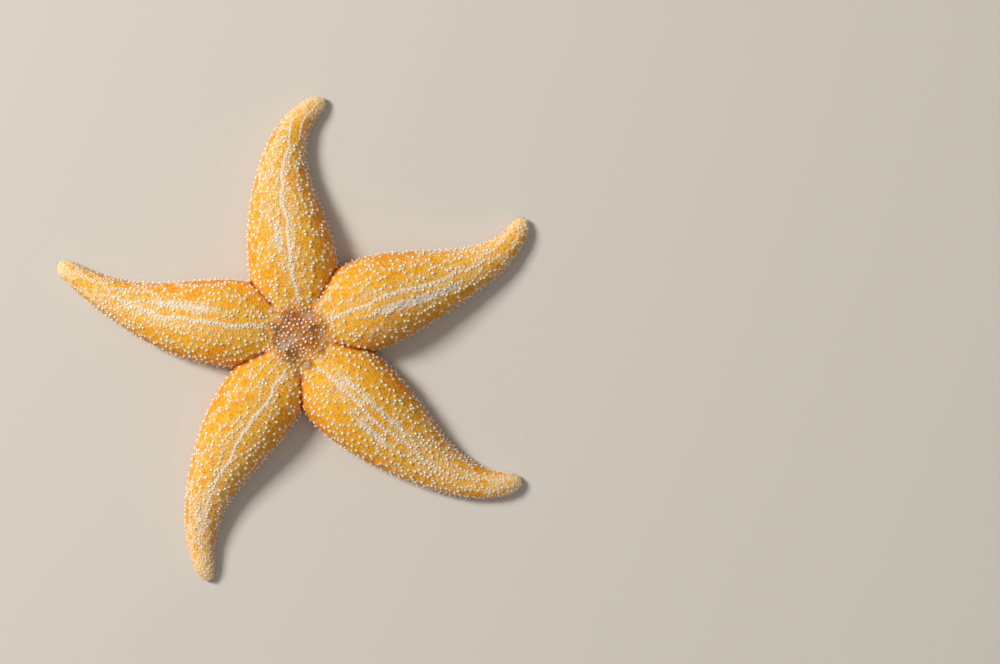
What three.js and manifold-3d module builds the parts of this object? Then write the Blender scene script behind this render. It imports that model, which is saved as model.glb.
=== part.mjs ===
// A common starfish at rest on a level floor: a small central disc and five plump, curved arms.
// Millimetres, +Z up. The floor is z = 0, and the origin is below the middle of the animal's outline box.
// The body is one domed form, parted by thin cuts into the disc and three lengths of each arm.
// Arms are lettered A to E, clockwise seen from above, with the madreporite between C and D.

import * as THREE from "three";
import { mergeVertices } from "three/addons/utils/BufferGeometryUtils.js";
import Module from "manifold-3d";

const wasm = await Module();
wasm.setup();

// ---- Driving dimensions ----

const DISC_MIDDLE = [2.9, 2.2]; // the middle of the disc, from the middle of the outline box
const DISC_RADIUS = 22; // the round central piece, inside the notches between the arms
const CUT = 0.3; // width of every cut between two pieces
const SPINE_REACH = 0.9; // how far the short spines stand out of the skin, which the solids include

// Each arm's midline starts at the middle of the disc. Its length is along the midline, and its headings
// are angles in degrees from +X, at the start, one third, two thirds and the tip. The girth scales the
// widths below, at the start and at the tip, and the heights half as strongly. The notch is the direction,
// from the middle of the disc, of the gap between the arm and the next one.
const ARMS = [
  { name: "arm_a", length: 104.7, headings: [92.7, 98.8, 85.1, 20.3], girth: [0.95, 0.91], notch: 58 },
  { name: "arm_b", length: 108.6, headings: [20.8, 20.0, 21.6, 74.2], girth: [1.02, 0.93], notch: -14.5 },
  { name: "arm_c", length: 117.4, headings: [-60.4, -42.6, -33.1, 23.2], girth: [1.02, 1.01], notch: -83 },
  { name: "arm_d", length: 114.4, headings: [-115, -123.4, -109, -66.1], girth: [0.84, 0.91], notch: -151 },
  { name: "arm_e", length: 107.4, headings: [163.6, 174.8, 159.6, 143.2], girth: [0.93, 0.89], notch: 133 },
];

// Where an arm is cut into its three lengths, as shares of its own length.
const BASE_END = 0.42;
const MIDDLE_END = 0.72;

// The skin's half width and height along an arm of girth 1, as [share of the length, millimetres].
const HALF_WIDTHS = [
  [0, 15.5], [0.1, 17.8], [0.2, 19.8], [0.3, 19.8], [0.4, 18.4], [0.5, 16.0],
  [0.6, 13.0], [0.7, 10.0], [0.8, 7.6], [0.9, 5.4], [0.97, 3.6], [1, 1.2],
];
const HEIGHTS = [
  [0, 13.6], [0.1, 15.2], [0.22, 18.2], [0.34, 19.0], [0.5, 16.0],
  [0.7, 11.0], [0.85, 7.9], [0.95, 5.4], [1, 2.7],
];

// The cross-section of an arm: a dome over a flat foot on each side of the groove for the tube feet.
const DOME_POWER = 2.25; // 2 is an ellipse, and more is fuller at the shoulders
const WIDEST_AT = 0.24; // the height of the widest level, as a share of the arm's height
const FOOT_WIDTH = 0.86; // the outer edge of the flat foot, as a share of the half width
const UNDERCUT_WIDTH = 0.96; // the side halfway down from the widest level to the foot
const GROOVE_HALF_WIDTH = 0.2; // of the half width
const GROOVE_DEPTH = 0.3; // of the height
const GROOVE_LIP = 0.8; // how far the groove's slanting lip reaches into the foot
const GROOVE_WALL = 0.85; // the half width halfway up the groove, as a share of that at its lip
const GROOVE_ROOF = 0.4; // and at its roof

// Near the disc, a side reaches this many times as far as the line of its notch, at the middle of the disc
// and at the notch itself, so that neighbours meet in a crease that deepens outwards.
const NOTCH_OVERLAP = [2.1, 1.2];
const NOTCH_SHARE = 0.3; // how far along its arms a notch lies
const NOTCH_SHARPNESS = 6; // how suddenly the notch takes over from the arm's own width
const LEAST_HALF_WIDTH = 7; // at the middle of the disc, under its crown

const MOUTH_RADIUS = 5.2;
const MOUTH_DEPTH = 4.5;
const MOUTH_OPENING_RADIUS = 1.6;
const MEMBRANE_HEIGHTS = [2.2, 3.4]; // the mouth's membrane, from its underside to its top
const MEMBRANE_EDGE = 0.5; // the rounding of its inner edge
const MEMBRANE_RIM = 0.9; // its thickness at the wall
const MADREPORITE_RADIUS = 1.75;
const MADREPORITE_HEIGHT = 1.7;
const MADREPORITE_SUNK = 1.1; // how much of that height lies below the skin
const MADREPORITE_SHOULDER = [0.75, 0.93]; // where its top starts to round off: shares of radius and height
const MADREPORITE_WALL = 0.7; // the top of its upright wall, as a share of its height
const MADREPORITE_AT = { distance: 13.7, angle: -75, up: 15.5, tilt: 24 }; // the tilt lifts its +X side
const CROWN = { radius: 20, level: 4, rise: 12.2 }; // the half ellipsoid over the middle of the disc

const DOME_STEPS = 14; // facets over an arm
const BASE_STEPS = 11; // and along each of its lengths
const MIDDLE_STEPS = 8;
const TIP_STEPS = 9;
const CROWN_STEPS = 6;
const CROWN_FACETS = 30;
const DISC_FACETS = 60;
const SMALL_FACETS = 20; // round the mouth and the sieve plate
const MIDLINE_STEPS = 200;
const HALVINGS = 30; // in the search along a curve
const CENTRE_HEIGHT = 0.55; // where an end face's facets meet, as a share of the height
const ABOVE_ALL = 40; // past the animal on every side, for the solids that cut it
const BELOW_ALL = -5;
const OUT_OF_REACH = 200;

const SKIN_COLOUR = 0xe8942a;
const TIP_COLOUR = 0xefd2a0;
const DISC_COLOUR = 0xb5713c;
const SIEVE_COLOUR = 0xc9a977;
const MEMBRANE_COLOUR = 0xd9b58a;

// ---- Numbers along an arm ----

const radians = THREE.MathUtils.degToRad;

// The smooth curve through [share, value] stations, read at a share.
function smooth(stations) {
  const curve = new THREE.SplineCurve(stations.map(([x, y]) => new THREE.Vector2(x, y)));
  return (share) => {
    if (share <= stations[0][0]) return stations[0][1];
    let low = 0;
    let high = 1;
    for (let i = 0; i < HALVINGS; i++) {
      const middle = (low + high) / 2;
      if (curve.getPoint(middle).x < share) low = middle;
      else high = middle;
    }
    return curve.getPoint(low).y;
  };
}

const halfWidthAt = smooth(HALF_WIDTHS);
const heightAt = smooth(HEIGHTS);

function girthAt(arm, share) {
  return THREE.MathUtils.lerp(arm.girth[0], arm.girth[1], share);
}

// The cubic through four headings that lie at 0, 1/3, 2/3 and 1.
function headingAt(headings, share) {
  let sum = 0;
  headings.forEach((heading, i) => {
    let weight = 1;
    headings.forEach((_, j) => {
      if (j !== i) weight *= (share * 3 - j) / (i - j);
    });
    sum += heading * weight;
  });
  return radians(sum);
}

// The point on an arm's midline at a share of its length, and the heading there.
function onMidline(arm, share) {
  const point = new THREE.Vector2();
  const steps = Math.ceil(share * MIDLINE_STEPS);
  for (let i = 0; i < steps; i++) {
    const heading = headingAt(arm.headings, ((i + 0.5) / steps) * share);
    point.x += (Math.cos(heading) * share * arm.length) / steps;
    point.y += (Math.sin(heading) * share * arm.length) / steps;
  }
  return { point, heading: headingAt(arm.headings, share) };
}

// How far a side may stand out at a point on the midline before it meets the line of its notch.
function roomBeside(point, heading, side, notch) {
  const out = new THREE.Vector2(-Math.sin(heading), Math.cos(heading)).multiplyScalar(side);
  const line = new THREE.Vector2(Math.cos(radians(notch)), Math.sin(radians(notch)));
  const room = point.cross(line) / line.cross(out);
  return room > 0 ? room : OUT_OF_REACH;
}

// An arm's half widths on its left and right and its height, out to the tips of the spines.
function sizeAt(arm, share) {
  const { point, heading } = onMidline(arm, share);
  const overlap = THREE.MathUtils.lerp(...NOTCH_OVERLAP, Math.min(share / NOTCH_SHARE, 1));
  const own = halfWidthAt(share) * girthAt(arm, share) + SPINE_REACH;
  const before = ARMS[(ARMS.indexOf(arm) + ARMS.length - 1) % ARMS.length];
  const [left, right] = [
    [1, before.notch],
    [-1, arm.notch],
  ].map(([side, notch]) => {
    const room = roomBeside(point, heading, side, notch) * overlap;
    const width = (own ** -NOTCH_SHARPNESS + room ** -NOTCH_SHARPNESS) ** (-1 / NOTCH_SHARPNESS);
    return Math.max(width, LEAST_HALF_WIDTH * (1 - share / BASE_END));
  });
  const height = heightAt(share) * ((1 + girthAt(arm, share)) / 2) + SPINE_REACH;
  return { left, right, height };
}

// ---- Cross-sections: rings of corners [across, up], from the left over the top and back underneath ----

// The groove's side under an arm, from its lip on the flat foot to its roof. Left is 1 and right is -1.
function grooveSide({ left, right, height }, side) {
  const half = (GROOVE_HALF_WIDTH * (left + right)) / 2;
  const depth = GROOVE_DEPTH * height;
  return [
    [side * (half + GROOVE_LIP), 0],
    [side * half * GROOVE_WALL, depth / 2],
    [side * half * GROOVE_ROOF, depth],
  ];
}

// The groove alone, as a space to cut out.
function grooveSection(arm, share) {
  const size = sizeAt(arm, share);
  const [left, right] = [grooveSide(size, 1), grooveSide(size, -1)];
  const below = [
    [right[0][0], BELOW_ALL],
    [left[0][0], BELOW_ALL],
  ];
  return { corners: [...left, ...right.reverse(), ...below], centre: [0, 0] };
}

// A whole arm, with a flat underside or a grooved one.
function armSection(arm, share, grooved) {
  const size = sizeAt(arm, share);
  const { left, right, height } = size;
  const level = WIDEST_AT * height;
  const dome = [];
  for (let i = 0; i <= DOME_STEPS; i++) {
    const turn = (Math.PI * i) / DOME_STEPS;
    const width = i < DOME_STEPS / 2 ? left : -right;
    const across = Math.abs(Math.cos(turn)) ** (2 / DOME_POWER);
    dome.push([across * width, level + (height - level) * Math.sin(turn) ** (2 / DOME_POWER)]);
  }
  const [underLeft, underRight] = [
    [left, 1],
    [-right, -1],
  ].map(([width, side]) => [
    [UNDERCUT_WIDTH * width, level / 2],
    [FOOT_WIDTH * width, 0],
    ...(grooved ? grooveSide(size, side) : []),
  ]);
  const corners = [...dome, ...underRight, ...underLeft.reverse()];
  return { corners, centre: [0, height * CENTRE_HEIGHT] };
}

const flatArmSection = (arm, share) => armSection(arm, share, false);
const groovedArmSection = (arm, share) => armSection(arm, share, true);

// ---- Solids ----

function asSolid(geometry) {
  const bare = geometry.clone();
  bare.deleteAttribute("normal");
  bare.deleteAttribute("uv");
  const merged = mergeVertices(bare, 1e-4);
  return new wasm.Manifold(
    new wasm.Mesh({
      numProp: 3,
      vertProperties: merged.attributes.position.array,
      triVerts: new Uint32Array(merged.index.array),
    }),
  );
}

function asGeometry(solid) {
  const { vertProperties, triVerts } = solid.getMesh();
  const geometry = new THREE.BufferGeometry();
  geometry.setAttribute("position", new THREE.BufferAttribute(vertProperties, 3));
  geometry.setIndex(new THREE.BufferAttribute(triVerts, 1));
  geometry.computeVertexNormals();
  return geometry;
}

// A closed stretch along an arm, made by bending a plain cylinder on to the midline and its sections.
function alongArm(arm, from, to, steps, sectionAt) {
  const around = sectionAt(arm, from).corners.length;
  const geometry = new THREE.CylinderGeometry(1, 1, 1, around, steps, false);
  const position = geometry.attributes.position;
  for (let i = 0; i < position.count; i++) {
    const x = position.getX(i);
    const z = position.getZ(i);
    const share = from + (to - from) * (0.5 + position.getY(i));
    const { corners, centre } = sectionAt(arm, share);
    const corner = Math.round((Math.atan2(x, z) / (2 * Math.PI) + 1) * around) % around;
    const [across, up] = Math.hypot(x, z) < 0.5 ? centre : corners[corner];
    const { point, heading } = onMidline(arm, share);
    position.setXYZ(
      i,
      point.x - Math.sin(heading) * across,
      point.y + Math.cos(heading) * across,
      up,
    );
  }
  return asSolid(geometry);
}

// A solid of revolution about the middle of the disc, from a profile of [radius, up].
function turned(profile, facets) {
  const points = profile.map(([radius, up]) => new THREE.Vector2(radius, up));
  const geometry = new THREE.LatheGeometry(points, facets);
  geometry.rotateX(Math.PI / 2);
  return geometry;
}

function uprightCylinder(radius, bottom, top, facets) {
  return turned(
    [
      [0, bottom],
      [radius, bottom],
      [radius, top],
      [0, top],
    ],
    facets,
  );
}

// The wedge of space that belongs to one arm, up to half a cut short of the notches on both its sides.
function wedgeOf(index) {
  const left = radians(ARMS[(index + ARMS.length - 1) % ARMS.length].notch);
  let right = radians(ARMS[index].notch);
  while (right > left) right -= 2 * Math.PI;
  const middle = (left + right) / 2;
  const inset = CUT / 2 / Math.sin((left - right) / 2);
  const corner = new THREE.Vector2(Math.cos(middle), Math.sin(middle)).multiplyScalar(inset);
  const outline = [corner];
  [right, left].forEach((angle) => {
    const side = new THREE.Vector2(Math.cos(angle), Math.sin(angle)).multiplyScalar(OUT_OF_REACH);
    outline.push(side.add(corner));
  });
  const geometry = new THREE.ExtrudeGeometry(new THREE.Shape(outline), {
    depth: ABOVE_ALL - BELOW_ALL,
    bevelEnabled: false,
  });
  geometry.translate(0, 0, BELOW_ALL);
  return asSolid(geometry);
}

// ---- The animal's pieces ----

// Half a cut, as a share of an arm's length.
const halfCut = (arm) => CUT / 2 / arm.length;

// The dome over the middle of the disc, where the arms run together.
function makeCrown() {
  const profile = [[0, CROWN.level / 2]];
  for (let i = 0; i <= CROWN_STEPS; i++) {
    const turn = (Math.PI / 2) * (i / CROWN_STEPS);
    profile.push([CROWN.radius * Math.cos(turn), CROWN.level + CROWN.rise * Math.sin(turn)]);
  }
  profile[CROWN_STEPS + 1][0] = 0;
  return asSolid(turned(profile, CROWN_FACETS));
}

// The disc and the bases of all five arms in one, grooved below and hollowed for the mouth.
function makeMiddle() {
  let middle = makeCrown();
  ARMS.forEach((arm) => {
    middle = middle.add(alongArm(arm, 0, BASE_END - halfCut(arm), BASE_STEPS, flatArmSection));
  });
  ARMS.forEach((arm) => {
    middle = middle.subtract(alongArm(arm, 0, BASE_END, BASE_STEPS, grooveSection));
  });
  return middle.subtract(asSolid(uprightCylinder(MOUTH_RADIUS, BELOW_ALL, MOUTH_DEPTH, SMALL_FACETS)));
}

const onDisc = (radius) => asSolid(uprightCylinder(radius, BELOW_ALL, ABOVE_ALL, DISC_FACETS));

// Lays a solid, made about the origin, on the slope where the sieve plate sits.
function atMadreporite(geometry) {
  const { distance, angle, up, tilt } = MADREPORITE_AT;
  geometry.rotateY(-radians(tilt));
  geometry.translate(distance * Math.cos(radians(angle)), distance * Math.sin(radians(angle)), up);
  return asSolid(geometry);
}

function makeDisc(middle) {
  const pocket = uprightCylinder(
    MADREPORITE_RADIUS + CUT,
    -MADREPORITE_SUNK - CUT,
    MADREPORITE_RADIUS * 2,
    SMALL_FACETS,
  );
  return middle.intersect(onDisc(DISC_RADIUS)).subtract(atMadreporite(pocket));
}

// The sieve plate: a low round button in its pocket on the disc.
function makeMadreporite() {
  const profile = [
    [0, 0],
    [MADREPORITE_RADIUS, 0],
    [MADREPORITE_RADIUS, MADREPORITE_HEIGHT * MADREPORITE_WALL],
    [MADREPORITE_RADIUS * MADREPORITE_SHOULDER[0], MADREPORITE_HEIGHT * MADREPORITE_SHOULDER[1]],
    [0, MADREPORITE_HEIGHT],
  ];
  return atMadreporite(turned(profile, SMALL_FACETS).translate(0, 0, -MADREPORITE_SUNK));
}

// The soft membrane round the mouth opening, dished upwards inside its hollow.
function makeMouth() {
  const [bottom, top] = MEMBRANE_HEIGHTS;
  const rim = MOUTH_RADIUS - CUT;
  const profile = [
    [MOUTH_OPENING_RADIUS, top - MEMBRANE_EDGE / 2],
    [MOUTH_OPENING_RADIUS + MEMBRANE_EDGE, bottom + MEMBRANE_EDGE],
    [rim, bottom],
    [rim, bottom + MEMBRANE_RIM],
    [MOUTH_OPENING_RADIUS + MEMBRANE_EDGE, top],
    [MOUTH_OPENING_RADIUS, top - MEMBRANE_EDGE / 2],
  ];
  return asSolid(turned(profile, SMALL_FACETS));
}

// The three lengths of one arm, from the disc's edge to the tip.
function makeArm(arm, index, middle) {
  const gap = halfCut(arm);
  return {
    base: middle.intersect(wedgeOf(index)).subtract(onDisc(DISC_RADIUS + CUT)),
    middle: alongArm(arm, BASE_END + gap, MIDDLE_END - gap, MIDDLE_STEPS, groovedArmSection),
    tip: alongArm(arm, MIDDLE_END + gap, 1, TIP_STEPS, groovedArmSection),
  };
}

function named(name, solid, colour) {
  const material = new THREE.MeshStandardMaterial({ color: colour, roughness: 0.6, metalness: 0 });
  const mesh = new THREE.Mesh(asGeometry(solid), material);
  mesh.name = name;
  return mesh;
}

const starfish = new THREE.Group();
starfish.name = "starfish";
starfish.position.set(...DISC_MIDDLE, 0);
const middle = makeMiddle();
starfish.add(named("disc", makeDisc(middle), DISC_COLOUR));
starfish.add(named("madreporite", makeMadreporite(), SIEVE_COLOUR));
starfish.add(named("mouth", makeMouth(), MEMBRANE_COLOUR));
ARMS.forEach((arm, index) => {
  const lengths = makeArm(arm, index, middle);
  const group = new THREE.Group();
  group.name = arm.name;
  group.add(named(`${arm.name}_base`, lengths.base, SKIN_COLOUR));
  group.add(named(`${arm.name}_middle`, lengths.middle, SKIN_COLOUR));
  group.add(named(`${arm.name}_tip`, lengths.tip, TIP_COLOUR));
  starfish.add(group);
});

export default starfish;
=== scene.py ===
import math

import bpy
import numpy as np
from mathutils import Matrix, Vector
from mathutils.bvhtree import BVHTree
from mathutils.kdtree import KDTree


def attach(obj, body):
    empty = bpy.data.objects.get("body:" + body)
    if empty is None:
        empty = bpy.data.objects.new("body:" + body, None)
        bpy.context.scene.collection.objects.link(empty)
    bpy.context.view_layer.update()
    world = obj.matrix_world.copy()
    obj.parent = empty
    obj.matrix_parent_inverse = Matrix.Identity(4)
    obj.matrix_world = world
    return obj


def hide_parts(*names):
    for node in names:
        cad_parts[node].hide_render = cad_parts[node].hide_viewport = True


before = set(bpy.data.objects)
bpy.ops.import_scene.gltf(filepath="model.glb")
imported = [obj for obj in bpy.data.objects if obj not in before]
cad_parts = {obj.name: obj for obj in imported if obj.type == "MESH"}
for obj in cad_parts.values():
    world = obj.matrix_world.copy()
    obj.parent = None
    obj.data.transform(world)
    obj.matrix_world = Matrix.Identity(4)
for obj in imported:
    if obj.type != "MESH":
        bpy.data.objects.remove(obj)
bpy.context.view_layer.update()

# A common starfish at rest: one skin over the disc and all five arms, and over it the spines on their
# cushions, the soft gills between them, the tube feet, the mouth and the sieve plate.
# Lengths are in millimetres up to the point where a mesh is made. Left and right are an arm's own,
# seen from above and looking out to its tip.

MM = 0.001

# ---- The body's sizes ----

DISC_MIDDLE = np.array([2.9, 2.2])
SPINE_REACH = 0.9  # from the skin to the tips of the spines
TIP_REACH, TIP_REACH_FROM = 0.35, 0.85  # the same at the very tip of an arm, and where it starts to lessen
# An arm's length and headings follow its midline from the middle of the disc, its girth is at the start
# and the tip, its notch is the direction of the gap before the next arm, and its crest is how far the
# middle row of spines lies to the left of the midline, as a share of the half width.
ARMS = [
    {"length": 104.7, "headings": (92.7, 98.8, 85.1, 20.3), "girth": (0.95, 0.91),
     "notch": 58, "crest": -0.05},
    {"length": 108.6, "headings": (20.8, 20.0, 21.6, 74.2), "girth": (1.02, 0.93),
     "notch": -14.5, "crest": 0.0},
    {"length": 117.4, "headings": (-60.4, -42.6, -33.1, 23.2), "girth": (1.02, 1.01),
     "notch": -83, "crest": -0.03},
    {"length": 114.4, "headings": (-115, -123.4, -109, -66.1), "girth": (0.84, 0.91),
     "notch": -151, "crest": 0.18},
    {"length": 107.4, "headings": (163.6, 174.8, 159.6, 143.2), "girth": (0.93, 0.89),
     "notch": 133, "crest": 0.03},
]
ARM_LETTERS = "abcde"
# Half widths and heights against the share of an arm's length.
HALF_WIDTHS = [
    (0, 15.5), (0.1, 17.8), (0.2, 19.8), (0.3, 19.8), (0.4, 18.4), (0.5, 16.0),
    (0.6, 13.0), (0.7, 10.0), (0.8, 7.6), (0.9, 5.4), (0.97, 3.6), (1, 1.2),
]
HEIGHTS = [
    (0, 13.6), (0.1, 15.2), (0.22, 18.2), (0.34, 19.0), (0.5, 16.0),
    (0.7, 11.0), (0.85, 7.9), (0.95, 5.4), (1, 2.7),
]
DOME_POWER = 2.25  # how full an arm's section is: 2 is an ellipse
WIDEST_AT = 0.24  # the level at which an arm is widest, as a share of its height
FOOT_WIDTH = 0.86  # how wide it is at the floor, as a share of that
UNDERCUT_WIDTH = 0.96  # and halfway up to the widest level
SIEVE_RADIUS, SIEVE_TILT = 1.75, 24
SIEVE_AT = np.array([DISC_MIDDLE[0] + 3.55, DISC_MIDDLE[1] - 13.23, 15.4])
# A notch holds an arm's side in over its first share, by less and less, and never under a least half width.
NOTCH_OVERLAP, NOTCH_SHARE, NOTCH_SHARPNESS = (2.1, 1.2), 0.3, 6
LEAST_HALF_WIDTH, LEAST_WIDTH_END, LEAST_ROOM = 7, 0.42, 0.1
OUT_OF_REACH, FAR_OFF = 200, 99.0
# The groove for the tube feet: its half width and height as shares of the arm's, how far its lip flares out
# and up to what part of its height, and how wide its roof is as a share of its lip.
GROOVE_HALF_WIDTH, GROOVE_DEPTH = 0.2, 0.3
GROOVE_LIP, LIP_PARTS, GROOVE_ROOF = 0.8, 3, 0.4
# The groove's skin stands back from it by the spines' reach, and by less where half the arm is narrower than
# this, down to the least share.
FULL_SPARE_AT, LEAST_SPARE = 5, 0.3
MOUTH_RADIUS, MOUTH_DEPTH = 5.6, 5.4
CROWN_RADIUS, CROWN_LEVEL, CROWN_RISE = 19.1, 4.0, 11.3  # the disc's dome
START_CAP, TIP_CAP = 13.0, 0.35  # how far an arm's rounded ends reach past its midline
CREASE_SOFTNESS, CROWN_SOFTNESS, EDGE_SOFTNESS, HOLLOW_SOFTNESS = 1.5, 4.0, 0.8, 1.0
ARM_STEPS = 240
SECTION_STEPS = 48
PLACES_AT_ONCE = 20000


def smooth_table(rows, at):
    """A smooth curve through rows of (share, millimetres), read at the shares in at."""
    rows = np.array(rows, float)
    ends = np.vstack([rows[:1], rows, rows[-1:]])
    w = np.linspace(0, 1, 16, endpoint=False)[:, None]
    curve = [
        ((2 * b) + (c - a) * w + (2 * a - 5 * b + 4 * c - d) * w**2 + (3 * b - a - 3 * c + d) * w**3) / 2
        for a, b, c, d in zip(ends, ends[1:], ends[2:], ends[3:])
    ]
    curve = np.vstack(curve + [rows[-1:]])
    return np.interp(at, curve[:, 0], curve[:, 1])


def direction(angle):
    """The way (x, y) that an angle in degrees points."""
    return np.array([math.cos(math.radians(angle)), math.sin(math.radians(angle))])


def cross(a, b):
    """How far b is turned left of a, times their lengths."""
    return a[..., 0] * b[..., 1] - a[..., 1] * b[..., 0]


def joined(a, b, softness):
    """Two forms run together with a soft fillet. Both are distances, less than nothing inside."""
    near = np.maximum(softness - np.abs(a - b), 0) / softness
    return np.minimum(a, b) - near**2 * softness / 4


def within(a, b, softness):
    """Only what is inside both forms, with a soft edge."""
    return -joined(-a, -b, softness)


def eased(low, high, value):
    """From 0 at low to 1 at high, smoothly."""
    t = np.clip((value - low) / (high - low), 0, 1)
    return t * t * (3 - 2 * t)


def outside_by(radius, size):
    """About how far places are outside a rounded form. radius is how far they are from its middle, and size
    is how many times larger the form would have to be to reach them."""
    return np.maximum(radius, 0.5) * (1 - 1 / np.maximum(size, 0.05))


def narrowed(up):
    """An arm's width at a share of the way up to its widest level, as a share of its widest."""
    return np.interp(up, [0, 0.5, 1], [FOOT_WIDTH, UNDERCUT_WIDTH, 1])


class Arm:
    """One arm's midline and the sizes of its skin, at even steps along it."""

    def __init__(self, number):
        row = ARMS[number]
        self.number, self.length, self.crest = number, row["length"], row["crest"]
        share = self.share = np.linspace(0, 1, ARM_STEPS + 1)
        heading = np.radians(np.polyval(np.polyfit([0, 1 / 3, 2 / 3, 1], row["headings"], 3), share))
        self.ahead = np.stack([np.cos(heading), np.sin(heading)], 1)
        self.aside = np.stack([-np.sin(heading), np.cos(heading)], 1)
        steps = (self.ahead[1:] + self.ahead[:-1]) / 2 * self.length / ARM_STEPS
        self.middle = DISC_MIDDLE + np.vstack([[0, 0], np.cumsum(steps, 0)])
        girth = np.interp(share, [0, 1], row["girth"])
        own = smooth_table(HALF_WIDTHS, share) * girth
        self.reach = np.interp(share, [TIP_REACH_FROM, 1], [SPINE_REACH, TIP_REACH])
        self.height = smooth_table(HEIGHTS, share) * (1 + girth) / 2 + SPINE_REACH - self.reach
        self.left = self.side_width(own, 1, ARMS[number - 1]["notch"])
        self.right = self.side_width(own, -1, row["notch"])
        self.level = WIDEST_AT * (self.height + self.reach)
        # the section over the top, from the left edge to the right, and the way along it from the crest
        turn = np.linspace(0, math.pi, SECTION_STEPS + 1)
        out = np.abs(np.cos(turn)) ** (2 / DOME_POWER) * np.sign(np.cos(turn))
        wide = np.where(out > 0, self.left[:, None], self.right[:, None])
        self.section_across = out * wide
        rise = np.abs(np.sin(turn)) ** (2 / DOME_POWER)
        self.section_up = self.level[:, None] + (self.height - self.level)[:, None] * rise
        pieces = np.hypot(np.diff(self.section_across, axis=1), np.diff(self.section_up, axis=1))
        way = np.concatenate([np.zeros((len(share), 1)), np.cumsum(pieces, 1)], 1)
        self.section_way = way[:, SECTION_STEPS // 2 :][:, :1] - way

    def side_width(self, own, side, notch):
        """A side's half width, which its notch holds in near the disc."""
        line = direction(notch)
        room = cross(self.middle - DISC_MIDDLE, line) / cross(line[None], self.aside * side)
        room = np.where(room > 0, room, OUT_OF_REACH)
        room = np.maximum(room * np.interp(self.share, [0, NOTCH_SHARE], NOTCH_OVERLAP), LEAST_ROOM)
        wide = ((own + SPINE_REACH) ** -NOTCH_SHARPNESS + room**-NOTCH_SHARPNESS) ** (-1 / NOTCH_SHARPNESS)
        return np.maximum(wide, LEAST_HALF_WIDTH * (1 - self.share / LEAST_WIDTH_END)) - self.reach

    def groove(self, share):
        """The half width of the groove for the tube feet at its lip, and how high its roof is."""
        half = np.interp(share, self.share, (self.left + self.right) / 2 + SPINE_REACH)
        spare = np.clip(half / FULL_SPARE_AT, LEAST_SPARE, 1) * SPINE_REACH
        high = np.interp(share, self.share, self.height) + SPINE_REACH
        return half * GROOVE_HALF_WIDTH + spare, high * GROOVE_DEPTH + spare

    def locate(self, places):
        """Where places (x, y) lie: share of the length, distance left of the midline and beyond an end, and
        the arm's own half width, height and widest level there."""
        groups = np.array_split(places, len(places) // PLACES_AT_ONCE + 1)
        nearest = np.concatenate([((g[:, None] - self.middle) ** 2).sum(2).argmin(1) for g in groups])
        offset = places - self.middle[nearest]
        along = self.share[nearest] * self.length + (offset * self.ahead[nearest]).sum(1)
        across = (offset * self.aside[nearest]).sum(1)
        beyond = np.maximum(-along, 0) + np.maximum(along - self.length, 0)
        cap = np.where(along < 0, START_CAP, TIP_CAP)
        share = np.clip(along / self.length, 0, 1)
        half = np.where(
            across > 0, np.interp(share, self.share, self.left), np.interp(share, self.share, self.right)
        )
        high = np.interp(share, self.share, self.height)
        level = np.interp(share, self.share, self.level)
        return {
            "share": share, "across": across, "beyond": beyond, "cap": cap,
            "half": half, "high": high, "level": level,
        }

    def flesh(self, spot, z):
        """About how far heights z over a spot that locate gave are outside the arm."""
        up = np.maximum(z - spot["level"], 0)
        narrow = narrowed(z / spot["level"])
        across, beyond = np.abs(spot["across"]), spot["beyond"]
        size = (across / (spot["half"] * narrow)) ** DOME_POWER + (beyond / spot["cap"]) ** DOME_POWER
        size = (size + (up / (spot["high"] - spot["level"])) ** DOME_POWER) ** (1 / DOME_POWER)
        return outside_by(np.sqrt(across**2 + beyond**2 + up**2), size)

    def trench(self, spot, z):
        """How far heights z over a spot are outside the groove for the tube feet."""
        half, roof = self.groove(spot["share"])
        lip = GROOVE_LIP * np.maximum(1 - z / roof * LIP_PARTS, 0)
        wide = half * np.interp(z / roof, [0, 1], [1, GROOVE_ROOF]) + lip
        beside = np.maximum(np.abs(spot["across"]) - wide, spot["beyond"] - 0.5)
        return within(beside, z - roof, HOLLOW_SOFTNESS)

    def way_over(self, spot, z):
        """The way over the skin from the crest to heights z over a spot, left positive: in millimetres, and
        as a share of the way to the widest edge, which is the third value. Under the edge both go on down
        and in."""
        out = (np.abs(spot["across"]) / spot["half"]) ** (DOME_POWER / 2)
        up = (np.maximum(z - spot["level"], 0) / (spot["high"] - spot["level"])) ** (DOME_POWER / 2)
        turn = np.arctan2(up, out * np.sign(spot["across"])) / math.pi * SECTION_STEPS
        row = spot["share"] * ARM_STEPS
        r, c = np.minimum(row.astype(int), ARM_STEPS - 1), np.minimum(turn.astype(int), SECTION_STEPS - 1)
        fr, fc = row - r, turn - c
        table = self.section_way
        way = (table[r, c] * (1 - fc) + table[r, c + 1] * fc) * (1 - fr)
        way += (table[r + 1, c] * (1 - fc) + table[r + 1, c + 1] * fc) * fr
        side = np.sign(spot["across"])
        edge = np.where(side > 0, np.interp(spot["share"], self.share, table[:, 0]),
                        -np.interp(spot["share"], self.share, table[:, -1]))
        below = np.maximum(spot["level"] - z, 0)
        inward = below + np.where(below > 0, np.maximum(spot["half"] - np.abs(spot["across"]), 0), 0)
        return way + side * inward, way / edge + side * inward / spot["half"], edge

    def at(self, share, way):
        """The place (x, y, z) on the section at a share of the length, a way over from the crest."""
        row = int(round(share * ARM_STEPS))
        ways = self.section_way[row][::-1]
        across = np.interp(way, ways, self.section_across[row][::-1])
        up = np.interp(way, ways, self.section_up[row][::-1])
        return np.array([*(self.middle[row] + self.aside[row] * across), up])

    def edge_way(self, share, side):
        """The way over the skin from the crest to the widest edge on a side."""
        table = self.section_way[:, 0] if side > 0 else -self.section_way[:, -1]
        return float(np.interp(share, self.share, table))

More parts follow.
